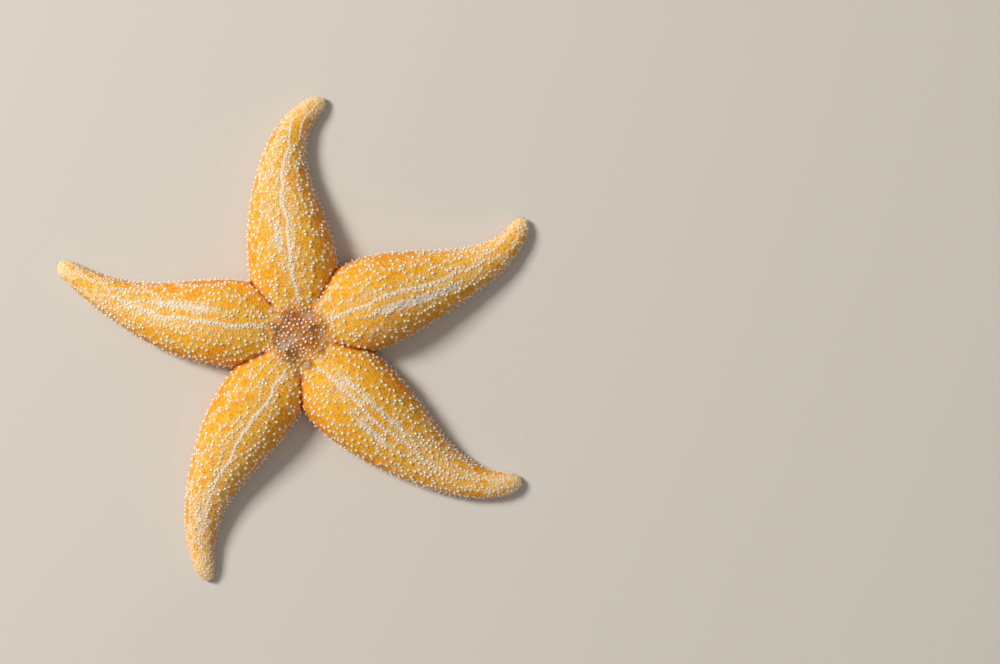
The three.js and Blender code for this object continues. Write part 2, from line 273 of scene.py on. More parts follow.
    def beside(self, share, across):
        """The place (x, y) beside the midline."""
        row = int(round(share * ARM_STEPS))
        return self.middle[row] + self.aside[row] * across

    def half(self, share, side):
        """The half width on a side."""
        return float(np.interp(share, self.share, self.left if side > 0 else self.right))


arms = [Arm(number) for number in range(len(ARMS))]

# ---- The flesh as one form ----

GRID = np.array([0.64, 0.64, 0.8])  # the skin's grain
LOW, HIGH = np.array([-101.0, -103.5, 0.0]), np.array([101.0, 103.5, 20.3])
REACH_OUT = 4.0  # how far round an arm its form is worked out
FURTHEST_FROM_MIDLINE, ROUGH_STEP = 28, 12  # for a first, rough choice of what is near an arm
EVENING_ROUNDS = 4
BOX_EDGES = [
    (a, b)
    for a in range(8)
    for b in range(a + 1, 8)
    if bin(a ^ b).count("1") == 1
]
CORNERS = np.array([[c & 1, c >> 1 & 1, c >> 2 & 1] for c in range(8)])


def body_form():
    """The whole body as distances on a grid, less than nothing inside."""
    axes = [np.arange(low, high, step) for low, high, step in zip(LOW, HIGH, GRID)]
    ground = np.stack(np.meshgrid(axes[0], axes[1], indexing="ij"), -1).reshape(-1, 2)
    z = axes[2][None]
    form = np.full((len(ground), len(axes[2])), REACH_OUT)
    trench = np.full_like(form, REACH_OUT)
    for arm in arms:
        rough = np.sqrt(((ground[:, None] - arm.middle[::ROUGH_STEP]) ** 2).sum(2).min(1))
        near = np.flatnonzero(rough < FURTHEST_FROM_MIDLINE)
        spot = arm.locate(ground[near])
        close = np.abs(spot["across"]) < spot["half"] + REACH_OUT
        close &= spot["beyond"] < spot["cap"] + REACH_OUT
        near = near[close]
        spot = {k: v[close][:, None] for k, v in spot.items()}
        form[near] = joined(form[near], arm.flesh(spot, z), CREASE_SOFTNESS)
        trench[near] = np.minimum(trench[near], arm.trench(spot, z))
    radius = np.sqrt(((ground - DISC_MIDDLE) ** 2).sum(1))[:, None]
    up = np.maximum(z - CROWN_LEVEL, 0)
    crown = outside_by(np.hypot(radius, up), np.hypot(radius / CROWN_RADIUS, up / CROWN_RISE))
    form = joined(form, crown, CROWN_SOFTNESS)
    form = within(form, SPINE_REACH - z, EDGE_SOFTNESS)
    form = within(form, -trench, EDGE_SOFTNESS)
    mouth = within(radius - MOUTH_RADIUS, z - MOUTH_DEPTH, HOLLOW_SOFTNESS)
    form = within(form, -mouth, EDGE_SOFTNESS)
    return form.reshape([len(a) for a in axes])


def surface_of(form):
    """The surface where a form on the grid crosses nothing: its points and its four-sided faces."""
    inside = form < 0
    cells = np.array(form.shape) - 1

    def corner(grid, c):
        i, j, k = CORNERS[c]
        return grid[i : i + cells[0], j : j + cells[1], k : k + cells[2]]

    count = sum(corner(inside, c).astype(np.int8) for c in range(8))
    active = (count > 0) & (count < 8)
    number = np.full(active.shape, -1)
    number[active] = np.arange(active.sum())
    total, hits = np.zeros((active.sum(), 3)), np.zeros(active.sum())
    for a, b in BOX_EDGES:
        fa, fb = corner(form, a)[active], corner(form, b)[active]
        over = np.flatnonzero((fa < 0) != (fb < 0))
        t = (fa[over] / (fa[over] - fb[over]))[:, None]
        total[over] += CORNERS[a] + (CORNERS[b] - CORNERS[a]) * t
        hits[over] += 1
    points = LOW + (np.argwhere(active) + total / hits[:, None]) * GRID
    faces = []
    for axis in range(3):
        start = [slice(1, -1)] * 3
        start[axis] = slice(0, -1)
        end = list(start)
        end[axis] = slice(1, None)
        first, last = inside[tuple(start)], inside[tuple(end)]
        for out, flip in ((first & ~last, False), (~first & last, True)):
            at = np.argwhere(out) + 1
            at[:, axis] -= 1
            u, v = (axis + 1) % 3, (axis + 2) % 3
            ring = []
            for du, dv in ((0, 0), (1, 0), (1, 1), (0, 1)):
                cell = at.copy()
                cell[:, u] -= 1 - du
                cell[:, v] -= 1 - dv
                ring.append(number[tuple(cell.T)])
            faces.append(np.stack(ring[::-1] if flip else ring, 1))
    return points, np.vstack(faces)


def evened(points, faces, rounds):
    """The points moved towards the middle of their neighbours."""
    ends = np.vstack([faces[:, [0, 1]], faces[:, [1, 2]], faces[:, [2, 3]], faces[:, [3, 0]]])
    a, b = np.concatenate([ends[:, 0], ends[:, 1]]), np.concatenate([ends[:, 1], ends[:, 0]])
    count = np.bincount(a, minlength=len(points))[:, None]
    for _ in range(rounds):
        total = np.stack([np.bincount(a, points[b, axis], len(points)) for axis in range(3)], 1)
        points = (points + total / count) / 2
    return points


def outward(points, faces):
    """The direction out of the surface at each point."""
    p = points[faces]
    across = np.cross(p[:, 2] - p[:, 0], p[:, 3] - p[:, 1])
    total = np.stack(
        [np.bincount(faces.ravel(), np.repeat(across[:, axis], 4), len(points)) for axis in range(3)], 1
    )
    return total / np.maximum(np.linalg.norm(total, axis=1, keepdims=True), 1e-9)


points, faces = surface_of(body_form())
points = evened(points, faces, EVENING_ROUNDS)
normals = outward(points, faces)

# ---- Where things lie on the skin ----

FOLD_WIDTH, FOLD_START = 2.3, (8, 18)
# Pale patches, where the soft gills stand close: arm, share of its length, share of the way from the crest
# to its left edge, the patch's reach in both, and how strong it is.
PALE_PATCHES = [
    (0, 0.39, 0.13, 0.055, 0.05, 1.30), (0, 0.48, 0.30, 0.10, 0.20, 0.50),
    (0, 0.45, -0.12, 0.16, 0.08, 0.65), (0, 0.35, 0.12, 0.10, 0.14, 0.40),
    (0, 0.27, -0.05, 0.06, 0.15, 0.40),
    (1, 0.58, -0.27, 0.09, 0.09, 1.30), (1, 0.46, -0.22, 0.10, 0.08, 0.90),
    (1, 0.36, -0.16, 0.10, 0.08, 0.70), (1, 0.30, -0.45, 0.08, 0.20, 0.50),
    (1, 0.30, 0.12, 0.10, 0.08, 0.60), (1, 0.50, 0.12, 0.12, 0.06, 0.50),
    (2, 0.33, 0.13, 0.12, 0.045, 1.10), (2, 0.49, 0.15, 0.08, 0.055, 1.25),
    (2, 0.42, -0.21, 0.09, 0.05, 1.25), (2, 0.47, -0.26, 0.06, 0.045, 0.90),
    (2, 0.34, -0.12, 0.08, 0.035, 0.80), (2, 0.24, 0.02, 0.05, 0.12, 0.80),
    (2, 0.60, 0.00, 0.06, 0.20, 0.40),
    (3, 0.76, -0.05, 0.07, 0.35, 0.75), (3, 0.85, 0.00, 0.06, 0.40, 0.50),
    (3, 0.40, -0.05, 0.20, 0.10, 0.45),
    (4, 0.45, -0.25, 0.10, 0.08, 0.90), (4, 0.54, -0.22, 0.08, 0.10, 0.75),
    (4, 0.36, -0.18, 0.08, 0.08, 0.65), (4, 0.40, 0.16, 0.12, 0.08, 0.60),
    (4, 0.55, 0.10, 0.10, 0.10, 0.50),
]
CREST_STRENGTH = np.array([1.0, 0.85, 0.7, 0.95, 0.85])  # how strongly each arm's pale crest shows
# Spots on the disc, from its middle, with their reach: dark ones, whose brown is partly the disc's own
# colour and partly painted shade, and ones that are grey with gills.
DARK_SPOTS = [
    (-4.3, 7.0, 3.2), (-3.5, -8.5, 3.4), (0.5, -14.0, 4.8),
    (-8.5, 1.0, 2.6), (2.5, -19.0, 3.6), (6.5, 2.0, 2.2),
]
GREY_SPOTS = [(4.3, 7.6, 2.8), (-6.0, -4.8, 3.4), (10.5, -2.0, 2.8), (-1.0, -2.0, 2.6), (-9.0, 6.0, 2.2)]


def spotted(places, spots):
    """How much places lie in any of the spots."""
    total = np.zeros(len(places))
    for x, y, reach in spots:
        total += np.exp(-((places[:, 0] - x) ** 2 + (places[:, 1] - y) ** 2) / reach**2)
    return np.minimum(total, 1)


def located(points):
    """For each point the arm it belongs to, its share of that arm's length, the way over the skin from the
    crest in millimetres and as a share of the way to the widest edge, that way, how far it is from the
    disc's middle, how dark and grey the disc's spots make it, and how deep it is in a fold."""
    least, second = np.full((2, len(points)), FAR_OFF)
    facts = {name: np.zeros(len(points)) for name in ("arm", "share", "way", "across", "edge")}
    for arm in arms:
        spot = arm.locate(points[:, :2])
        outside = arm.flesh(spot, points[:, 2])
        way, across, edge = arm.way_over(spot, points[:, 2])
        first = outside < least
        second = np.where(first, least, np.minimum(second, outside))
        least = np.where(first, outside, least)
        own = {"arm": arm.number, "share": spot["share"], "way": way, "across": across, "edge": edge}
        facts = {name: np.where(first, own[name], value) for name, value in facts.items()}
    radius = np.sqrt(((points[:, :2] - DISC_MIDDLE) ** 2).sum(1))
    facts["radius"] = radius
    facts["dark"] = spotted(points[:, :2] - DISC_MIDDLE, DARK_SPOTS)
    facts["grey"] = spotted(points[:, :2] - DISC_MIDDLE, GREY_SPOTS)
    facts["fold"] = np.exp(-(((second - least) / FOLD_WIDTH) ** 2)) * eased(*FOLD_START, radius)
    return facts


def paleness(facts):
    """How much places lie in the pale patches."""
    total = np.zeros(len(facts["arm"]))
    for number, share, across, long, wide, strength in PALE_PATCHES:
        near = ((facts["share"] - share) / long) ** 2 + ((facts["across"] - across) / wide) ** 2
        total += np.where(facts["arm"] == number, np.exp(-near) * strength, 0)
    return np.minimum(total, 1)


# The skin rolled out flat on a square sheet, in millimetres: a strip for each arm, and past the ends of the
# strips the underside at half size. A place on the sheet is a share of its side.
SHEET, STRIP, MARGIN = 262.0, 52.0, 4
UNDERSIDE_AT = 130
UNDERSIDE_FROM = (-103, -106)
UNDER_AT = 1.2  # past the widest edge by this share, a point belongs to the underside


def rolled_out(arm, share, way):
    """The place of a point of the upper side on the flat sheet."""
    length = np.array([a.length for a in arms])[arm]
    return np.stack([(arm + 0.5) * STRIP + way, MARGIN + share * length], -1) / SHEET


def rolled_out_below(x, y):
    """The place of a point of the underside on the flat sheet."""
    x, y = (x - UNDERSIDE_FROM[0]) / 2, (y - UNDERSIDE_FROM[1]) / 2
    return np.stack([MARGIN + x, UNDERSIDE_AT + y], -1) / SHEET


def flat_places(points, facts):
    """The places of points on the flat sheet."""
    upper = rolled_out(facts["arm"].astype(int), facts["share"], facts["way"])
    under = rolled_out_below(points[:, 0], points[:, 1])
    return np.where((np.abs(facts["across"]) < UNDER_AT)[:, None], upper, under)


# ---- The places of the spines ----

DOWN, ABOVE = np.array([0, 0, -1.0]), 40
both_sides = [(arm, side) for arm in arms for side in (1, -1)]
chance = np.random.default_rng(11)
skin_tree = BVHTree.FromPolygons([Vector(p) for p in points], [tuple(f) for f in faces.tolist()])
FURTHEST_SNAP = 1.6
ANY_TURN = 6.28  # just under a whole turn
# Steps are for skin that is FULL_EDGE_WAY from the crest to the edge. Where an arm is narrower, they shrink
# with a power of that way. Starts and ends are shares of the arm's length.
FULL_EDGE_WAY, ROW_POWER, EDGE_POWER = 25.0, 0.55, 0.4
CREST_STEP, CREST_FROM, CREST_TO, CREST_SHAKE = 1.55, 0.14, 0.82, 0.28
CREST_AT_TIP = 0.62  # the crest's steps at the very tip, as a share of its full ones
CREST_SWAY = ((0.45, 5), (0.3, 2.3))  # how far the row wanders, and over what length
SIDE_ROWS, FIRST_ROW, ROW_STEP, ROW_SPACING = 11, 3.6, 3.0, 2.45
ROWS_FROM, ROWS_TO = (0.1, 0.13), 0.97
ROW_SWAY, ROW_SWAY_LENGTH, ROW_SHAKE = 0.9, 5, 1.0
CLEAR_OF_EDGE = 2.4
LEFT_OUT, DOUBLED, TWIN_AHEAD, TWIN_SHAKE = 0.12, 0.2, 1.2, 0.5  # some spines are missing, some are twins
EDGE_FROM, EDGE_TO, EDGE_STEP, EDGE_SHAKE = 0.12, 0.985, 2.6, 0.15
UPPER_EDGE_UP, UPPER_EDGE_STEP = 2.1, 3.9
DISC_SPINES_WITHIN, DISC_SPACING, DISC_TRIES = 15.5, 1.3, 1100
BACK_SPINES_FROM = 15.0
SIEVE_CLEARANCE = 1.0
DEEP_FOLD = (0.9, 1.0)  # spines stop somewhere between these depths in a fold
TIP_SPINES, TIP_SPINES_FROM = 60, 0.9
DISC_GAP, BACK_GAP, EDGE_GAP = 0.95, 1.2, 0.9


def rooted(candidates, facing=None, least_gap=0):
    """The candidates that lie on the skin, set down on it, with the direction that each stands in."""
    places, ways = [], []
    for number, candidate in enumerate(candidates):
        hit, _, face, gap = skin_tree.find_nearest(Vector(candidate))
        if hit is None or gap > FURTHEST_SNAP:
            continue
        a, b, c, d = faces[face]
        soft = Vector(normals[a] + normals[b] + normals[c] + normals[d]).normalized()
        places.append(hit)
        ways.append(soft if facing is None else Vector(facing[number]).normalized())
    if least_gap:
        kept, tree_of = [], KDTree(len(places))
        taken = np.zeros(len(places), bool)
        for number, place in enumerate(places):
            tree_of.insert(place, number)
        tree_of.balance()
        for number, place in enumerate(places):
            if all(not taken[other] for _, other, _ in tree_of.find_range(place, least_gap)):
                taken[number] = True
                kept.append(number)
        places, ways = [places[k] for k in kept], [ways[k] for k in kept]
    return np.array(places), np.array(ways)


def crest_row(arm):
    """The close row along the middle of an arm's back."""
    starts = chance.uniform(0, ANY_TURN, 3)
    along = CREST_FROM * arm.length
    while along < CREST_TO * arm.length:
        share = along / arm.length
        sway = sum(far * math.sin(along / long + start) for (far, long), start in zip(CREST_SWAY, starts))
        way = arm.crest * arm.half(share, 1) + sway + chance.normal(0, CREST_SHAKE)
        yield arm.at(share, way)
        scale = CREST_AT_TIP + (1 - CREST_AT_TIP) * arm.edge_way(share, 1) / FULL_EDGE_WAY
        along += CREST_STEP * scale * chance.uniform(0.85, 1.15)


def side_rows(arm, side):
    """The rows between the crest and an edge, which grow fewer as the arm narrows."""
    for row in range(SIDE_ROWS):
        along = chance.uniform(*ROWS_FROM) * arm.length
        start = chance.uniform(0, ANY_TURN)
        while along < ROWS_TO * arm.length:
            share = along / arm.length
            edge = arm.edge_way(share, side)
            scale = (edge / FULL_EDGE_WAY) ** ROW_POWER
            sway = ROW_SWAY * math.sin(along / ROW_SWAY_LENGTH + start)
            way = (FIRST_ROW + ROW_STEP * row) * scale + sway
            if way < edge - CLEAR_OF_EDGE * scale and chance.random() > LEFT_OUT:
                centre = arm.crest * arm.half(share, 1)
                way += chance.normal(0, ROW_SHAKE * scale)
                yield arm.at(share, centre + side * way)
                if chance.random() < DOUBLED:
                    twin_share = min(share + TWIN_AHEAD / arm.length, 1)
                    yield arm.at(twin_share, centre + side * (way + chance.normal(0, TWIN_SHAKE)))
            along += ROW_SPACING * scale * chance.uniform(0.75, 1.3)


def edge_row(arm, side, up, spacing):
    """A row along an edge, or at a way up from it."""
    along = EDGE_FROM * arm.length
    while along < EDGE_TO * arm.length:
        share = along / arm.length
        scale = (arm.edge_way(share, side) / FULL_EDGE_WAY) ** EDGE_POWER
        way = arm.edge_way(share, side) - up * scale + chance.normal(0, EDGE_SHAKE)
        yield arm.at(share, side * way)
        along += spacing * scale * chance.uniform(0.8, 1.2)


def over_disc():
    """Places spread over the disc, well apart."""
    kept = []
    for _ in range(DISC_TRIES):
        place = DISC_MIDDLE + chance.uniform(-DISC_SPINES_WITHIN, DISC_SPINES_WITHIN, 2)
        if np.hypot(*(place - DISC_MIDDLE)) > DISC_SPINES_WITHIN:
            continue
        if all(np.hypot(*(place - other)) > DISC_SPACING for other in kept):
            kept.append(place)
    for place in kept:
        hit = skin_tree.ray_cast(Vector((*place, ABOVE)), Vector(DOWN))[0]
        if hit is not None:
            yield np.array(hit)


def only(roots, mine):
    """Some of the roots."""
    return roots[0][mine], roots[1][mine]


def clear_of_sieve(roots):
    """The roots that aren't under the sieve plate or against it."""
    clear = np.linalg.norm(roots[0] - SIEVE_AT, axis=1) > SIEVE_RADIUS + SIEVE_CLEARANCE
    return only(roots, clear)


def bare_of_folds(roots):
    """The roots that don't lie deep in the folds between the arms."""
    return only(roots, located(roots[0])["fold"] < chance.uniform(*DEEP_FOLD, len(roots[0])))


def over_tip(arm):
    """The close small spines round the end of an arm."""
    for _ in range(TIP_SPINES):
        share = chance.uniform(TIP_SPINES_FROM, 1)
        edge = arm.edge_way(share, 1)
        yield arm.at(share, chance.uniform(-1, 1) * edge)


disc_roots = rooted(list(over_disc()), least_gap=DISC_GAP)
crest_roots = rooted([place for arm in arms for place in crest_row(arm)])
back = [np.array(place) for place in crest_roots[0]]
for arm, side in both_sides:
    back += list(side_rows(arm, side))
    back += list(edge_row(arm, side, UPPER_EDGE_UP, UPPER_EDGE_STEP))
for arm in arms:
    back += list(over_tip(arm))
back = [place for place in back if np.hypot(*(place[:2] - DISC_MIDDLE)) > BACK_SPINES_FROM]
back_roots = rooted(back, least_gap=BACK_GAP)
edges = [place for arm, side in both_sides for place in edge_row(arm, side, 0, EDGE_STEP)]
edge_roots = rooted(edges, least_gap=EDGE_GAP)
disc_roots, back_roots = clear_of_sieve(disc_roots), clear_of_sieve(back_roots)
disc_roots, back_roots, edge_roots = map(bare_of_folds, (disc_roots, back_roots, edge_roots))

# ---- Rows under the body ----

# Rows beside the groove: how far from its lip, the spacing, how far the spines lean out, and their start.
GROOVE_ROWS = [(0.55, 1.15, -0.25, 7.0), (1.65, 1.3, 0.1, 7.0)]
UNDER_ROWS = [(3.3 + 2.0 * row, 2.1, 0.25, 14) for row in range(6)]
LOW_SIDE_ROWS = [(0.72, 2.5), (0.36, 2.1)]  # the share of the way up to the widest level, and the spacing
FULL_HALF_WIDTH = 14  # of an arm whose rows have their full spacing
CLEAR_OF_SIDE, BELOW_SHAKE = 0.9, 0.12
LOW_SIDE_TO, LEAST_HEIGHT = 0.98, 1.2
LOW_SIDE_OUT, LOW_SIDE_DOWN = 0.7, 0.8  # how much the low side spines point out, and how much down
GROOVE_GAP, UNDER_GAP, LOW_SIDE_GAP, JAW_GAP = 0.6, 1.1, 0.9, 0.5
JAW_TURNS = (-20, -12, -4, 4, 12, 20)  # of a jaw's spines, from the notch it lies in
JAW_BACK, JAW_HEIGHT, JAW_IN, JAW_DOWN = 0.6, 1.3, 0.95, 0.22
EYE_AHEAD, EYE_HEIGHT = 0.2, 2.0


def row_below(arm, side, offset, spacing, lean, start):
    """A row under the arm beside its groove: places, and the ways they face."""
    along = start
    while along < EDGE_TO * arm.length:
        share = along / arm.length
        scale = min(1, 0.45 + 0.55 * arm.half(share, side) / FULL_HALF_WIDTH)
        across = arm.groove(share)[0] + GROOVE_LIP + offset * scale
        if across < arm.half(share, side) * UNDERCUT_WIDTH - CLEAR_OF_SIDE * scale:
            row = int(round(share * ARM_STEPS))
            place = arm.beside(share, side * (across + chance.normal(0, BELOW_SHAKE)))
            yield (*place, SPINE_REACH), DOWN + np.array([*(arm.aside[row] * side * lean), 0])
        along += spacing * scale * chance.uniform(0.85, 1.15)


def side_below(arm, side, up, spacing):
    """A row on the side below the widest edge, pointing out and down."""
    along = EDGE_FROM * arm.length
    while along < LOW_SIDE_TO * arm.length:
        share = along / arm.length
        row = int(round(share * ARM_STEPS))
        place = arm.beside(share, side * arm.half(share, side) * narrowed(up))
        high = max(up * arm.level[row], LEAST_HEIGHT)
        yield (*place, high), DOWN * LOW_SIDE_DOWN + np.array([*(arm.aside[row] * side * LOW_SIDE_OUT), 0])
        scale = 0.5 + 0.5 * min(1, arm.half(share, side) / FULL_HALF_WIDTH)
        along += spacing * chance.uniform(0.85, 1.15) * scale


def jaw_rows():
    """The spines that point in over the mouth, between each two grooves."""
    for row in ARMS:
        for turn in JAW_TURNS:
            out = direction(row["notch"] + turn)
            place = DISC_MIDDLE + out * (MOUTH_RADIUS + JAW_BACK)
            yield (*place, JAW_HEIGHT), np.array([*(-out * JAW_IN), -JAW_DOWN])


def rooted_pairs(pairs, least_gap):
    """Pairs of a place and the way it faces, set down on the skin."""
    places, ways = zip(*pairs)
    return rooted(places, ways, least_gap)


def all_rows(row_of, kinds):
    """Every kind of row on both sides of every arm."""
    return (pair for kind in kinds for arm, side in both_sides for pair in row_of(arm, side, *kind))


groove_roots = rooted_pairs(all_rows(row_below, GROOVE_ROWS), GROOVE_GAP)
under_roots = rooted_pairs(all_rows(row_below, UNDER_ROWS), UNDER_GAP)
side_roots = rooted_pairs(all_rows(side_below, LOW_SIDE_ROWS), LOW_SIDE_GAP)
jaw_roots = rooted_pairs(jaw_rows(), JAW_GAP)
eye_roots = rooted([(*(arm.middle[-1] + arm.ahead[-1] * EYE_AHEAD), EYE_HEIGHT) for arm in arms])

# The four rows of feet: how far from the midline, as a share of the groove's half width, how high they hang,
# as a share of its roof, and whether the row is set half a step on.
FEET_ROWS = [(0.25, 1.0, 0), (-0.25, 1.0, 1), (0.66, 0.6, 1), (-0.66, 0.6, 0)]
FEET_FROM, FOOT_STEP, FOOT_SET_ON, FOOT_SHAKE = 6.5, 1.75, 0.8, 0.1
FULL_GROOVE, LEAST_GIRTH = 4.2, 0.34
OUTER_FEET_FROM = 1.6  # a narrower groove holds only the inner rows
FOOT_ROOT, FLOOR_GAP = 0.25, (0.12, 0.25)  # how far a foot's root is in the roof, and its tip off the floor


def feet_of(arm):
    """The tube feet in the arm's groove: where each hangs from, and how long and wide it is."""
    along = FEET_FROM
    while along < ROWS_TO * arm.length:
        wide, roof = arm.groove(along / arm.length)
        girth = np.clip(wide / FULL_GROOVE, LEAST_GIRTH, 1)
        for out, up, late in FEET_ROWS:
            if abs(out) > 0.5 and wide < OUTER_FEET_FROM:
                continue
            share = (along + FOOT_SET_ON * girth * late) / arm.length
            place = arm.beside(min(share, 1), out * wide + chance.normal(0, FOOT_SHAKE))
            tall = roof * up + FOOT_ROOT
            yield [*place, tall], tall - FLOOR_GAP[0] - chance.random() * FLOOR_GAP[1] * girth, girth
        along += FOOT_STEP * girth * chance.uniform(0.9, 1.1)


# ---- The skin's relief: a mound under each spine, low bars from spine to spine, hollows between ----

MOUND_RADIUS, MOUND_HEIGHT = 0.8, 0.26
BAR_RADIUS, BAR_HEIGHT, LONGEST_BAR, NO_BAR = 0.55, 0.13, 5.2, 9.0
HOLLOW = 0.14
CREST_BAND, CREST_FADES = 1.0, (0.62, 0.86)
COLLAR_RADIUS, COLLAR_HEIGHT = 2.5, 0.9  # the skin's rim round the sieve plate
# Fine ribs cross the back beside the crest: they fade in and out over these ways from it.
RIB_STEP, RIB_HEIGHT, RIBS_IN, RIBS_OUT, RIBS_FROM = 1.35, 0.06, (0.8, 1.4), (4.5, 7.5), 17
UPPER_FADES = (1.02, 1.15)  # the relief ends below the widest edge, at these shares of the way to it
HALF_WIDTH_IN_EDGE_WAY = 0.75  # about how much of the way over the skin to an edge is the half width


def network(points, roots):
    """For each point how far off the nearest root is, and the nearest bar between two neighbouring roots."""
    tree = KDTree(len(roots))
    for number, root in enumerate(roots):
        tree.insert(Vector(root), number)
    tree.balance()
    nearest = np.array([[found[1] for found in tree.find_n(Vector(p), 3)] for p in points])
    first = np.linalg.norm(points - roots[nearest[:, 0]], axis=1)
    gap = np.full(len(points), NO_BAR)
    for a, b in ((0, 1), (0, 2), (1, 2)):
        start, way = roots[nearest[:, a]], roots[nearest[:, b]] - roots[nearest[:, a]]
        span = np.maximum((way**2).sum(1), 1e-6)
        t = np.clip(((points - start) * way).sum(1) / span, 0, 1)[:, None]
        off = np.linalg.norm(points - start - way * t, axis=1)
        gap = np.where(span < LONGEST_BAR**2, np.minimum(gap, off), gap)
    return first, gap


def bump_of(gap, radius):
    """A round bump, from 1 at no gap to little at its radius."""
    return np.exp(-((gap / radius) ** 2))


facts = located(points)
all_roots = np.vstack([disc_roots[0], back_roots[0], edge_roots[0]])
root_gap, bar_gap = network(points, all_roots)
mound, bar = bump_of(root_gap, MOUND_RADIUS), bump_of(bar_gap, BAR_RADIUS)
crest_line = bump_of(network(points, crest_roots[0])[1], CREST_BAND)
crest_line = crest_line * (1 - eased(*CREST_FADES, facts["share"]))
upper = 1 - eased(*UPPER_FADES, np.abs(facts["across"]))
owner = facts["arm"].astype(int)
crest_way = np.array([arm.crest for arm in arms])[owner] * facts["edge"] * HALF_WIDTH_IN_EDGE_WAY
aside = np.abs(facts["way"] - crest_way) / (facts["edge"] / FULL_EDGE_WAY) ** ROW_POWER
ribs = eased(*RIBS_IN, aside) * (1 - eased(*RIBS_OUT, aside)) * (facts["radius"] > RIBS_FROM) * upper
along_mm = facts["share"] * np.array([arm.length for arm in arms])[owner]
ripple = np.cos(along_mm * 2 * math.pi / RIB_STEP)
lift = upper * (MOUND_HEIGHT * mound + BAR_HEIGHT * bar * (1 - mound) - HOLLOW) + RIB_HEIGHT * ripple * ribs
collar = COLLAR_HEIGHT * np.exp(-((np.linalg.norm(points - SIEVE_AT, axis=1) / COLLAR_RADIUS) ** 4))
points = points + normals * (lift + collar)[:, None]

# ---- Meshes ----

HUB_FADES = (5, 24)  # how far from its middle the disc's colour starts to fade and has gone


def give(mesh, name, values, kind="FLOAT"):
    """Stores values with the mesh's points under a name."""
    made = mesh.attributes.new(name, kind, "POINT")
    field = "vector" if kind == "FLOAT_VECTOR" else "value"
    made.data.foreach_set(field, np.ascontiguousarray(values, np.float32).ravel())


def give_marks(mesh, facts):
    """Stores what the markings are worked out from."""
    give(mesh, "along", facts["share"])
    give(mesh, "across", np.abs(facts["across"]))
    give(mesh, "pale", paleness(facts))
    give(mesh, "fold", facts["fold"])
    give(mesh, "dark", facts["dark"])
    give(mesh, "grey", facts["grey"])
    give(mesh, "hub", 1 - eased(*HUB_FADES, facts["radius"]))


def shown(name, mesh):
    """A new object in the scene."""
    made = bpy.data.objects.new(name, mesh)
    bpy.context.scene.collection.objects.link(made)
    return made


def mesh_of(name, points, faces):
    """A smooth mesh from points in millimetres."""
    mesh = bpy.data.meshes.new(name)
    mesh.from_pydata((np.asarray(points) * MM).tolist(), [], [tuple(f) for f in faces])
    mesh.update()
    mesh.polygons.foreach_set("use_smooth", [True] * len(mesh.polygons))
    return mesh


skin_mesh = mesh_of("skin", points, faces.tolist())
give_marks(skin_mesh, facts)
give(skin_mesh, "mound", mound * upper)
give(skin_mesh, "bar", bar * upper)
give(skin_mesh, "crest", crest_line * upper * CREST_STRENGTH[owner])
give(skin_mesh, "ribs", ribs)
give(skin_mesh, "way_out", along_mm)
middle_facts = located(points[faces].mean(1))
below = np.abs(middle_facts["across"]) > UNDER_AT
corner_uv = np.zeros((len(faces), 4, 2))
for arm in arms:
    mine = np.flatnonzero((middle_facts["arm"] == arm.number) & ~below)
    corners = points[faces[mine]].reshape(-1, 3)
    spot = arm.locate(corners[:, :2])
    way = arm.way_over(spot, corners[:, 2])[0]
    corner_uv[mine] = rolled_out(np.full(len(way), arm.number), spot["share"], way).reshape(-1, 4, 2)
corner_uv[below] = rolled_out_below(points[faces[below]][..., 0], points[faces[below]][..., 1])
skin_mesh.uv_layers.new(name="OFBake").data.foreach_set("uv", corner_uv.astype(np.float32).ravel())
skin = shown("skin", skin_mesh)

# ---- Small shapes that are repeated: each stands up from its root and is closed ----


def round_turns(steps):
    """Even turns round a circle."""
    return np.arange(steps) / steps * 2 * math.pi


def turned(name, profile, sides, lumps=()):
    """A shape of revolution from pairs of radius and height, in millimetres, from its root to its tip.
    lumps says how much each ring's radius rises and falls from corner to corner."""
    turn = round_turns(sides)
    top = max(up for _, up in profile)
    corners, heights, flat = [], [], []
    for number, (radius, up) in enumerate(profile):
        inward = 1 - number / (len(profile) - 1)
        if radius == 0:
            corners.append((0, 0, up))
            flat.append((0, 0, 0))
            heights.append(up / top)
            continue
        lump = lumps[number] if number < len(lumps) else 0
        for k, t in enumerate(turn):
            r = radius * (1 + lump * (-1) ** k)
            corners.append((r * math.cos(t), r * math.sin(t), up))
            flat.append((inward * math.cos(t) / 2, inward * math.sin(t) / 2, 0))
            heights.append(max(up / top, 0))
    count = len(profile) - 1
    faces = [tuple(range(sides))[::-1]]
    for ring in range(count - 1):
        a, b = ring * sides, (ring + 1) * sides
        faces += [(a + k, a + (k + 1) % sides, b + (k + 1) % sides, b + k) for k in range(sides)]
    a = (count - 1) * sides
    faces += [(a + k, a + (k + 1) % sides, len(corners) - 1) for k in range(sides)]
    mesh = mesh_of(name, corners, faces)
    give(mesh, "tip", heights)
    give(mesh, "own", flat, "FLOAT_VECTOR")
    return shown(name, mesh)


class Value:
    """A socket's value. Sums written with it add Math nodes to its tree."""

    def __init__(self, tree, socket):
        self.tree, self.socket = tree, socket

    def other(self, name):
        """Another output of the same node."""
        return Value(self.tree, self.socket.node.outputs[name])

    def sum(self, operation, a, b):
        return self.tree.node("ShaderNodeMath", {"operation": operation}, {0: a, 1: b})

    def __add__(self, other):
        return self.sum("ADD", self, other)

    def __sub__(self, other):
        return self.sum("SUBTRACT", self, other)

    def __mul__(self, other):
        return self.sum("MULTIPLY", self, other)

    def __rsub__(self, other):
        return self.sum("SUBTRACT", other, self)

    __radd__ = __add__


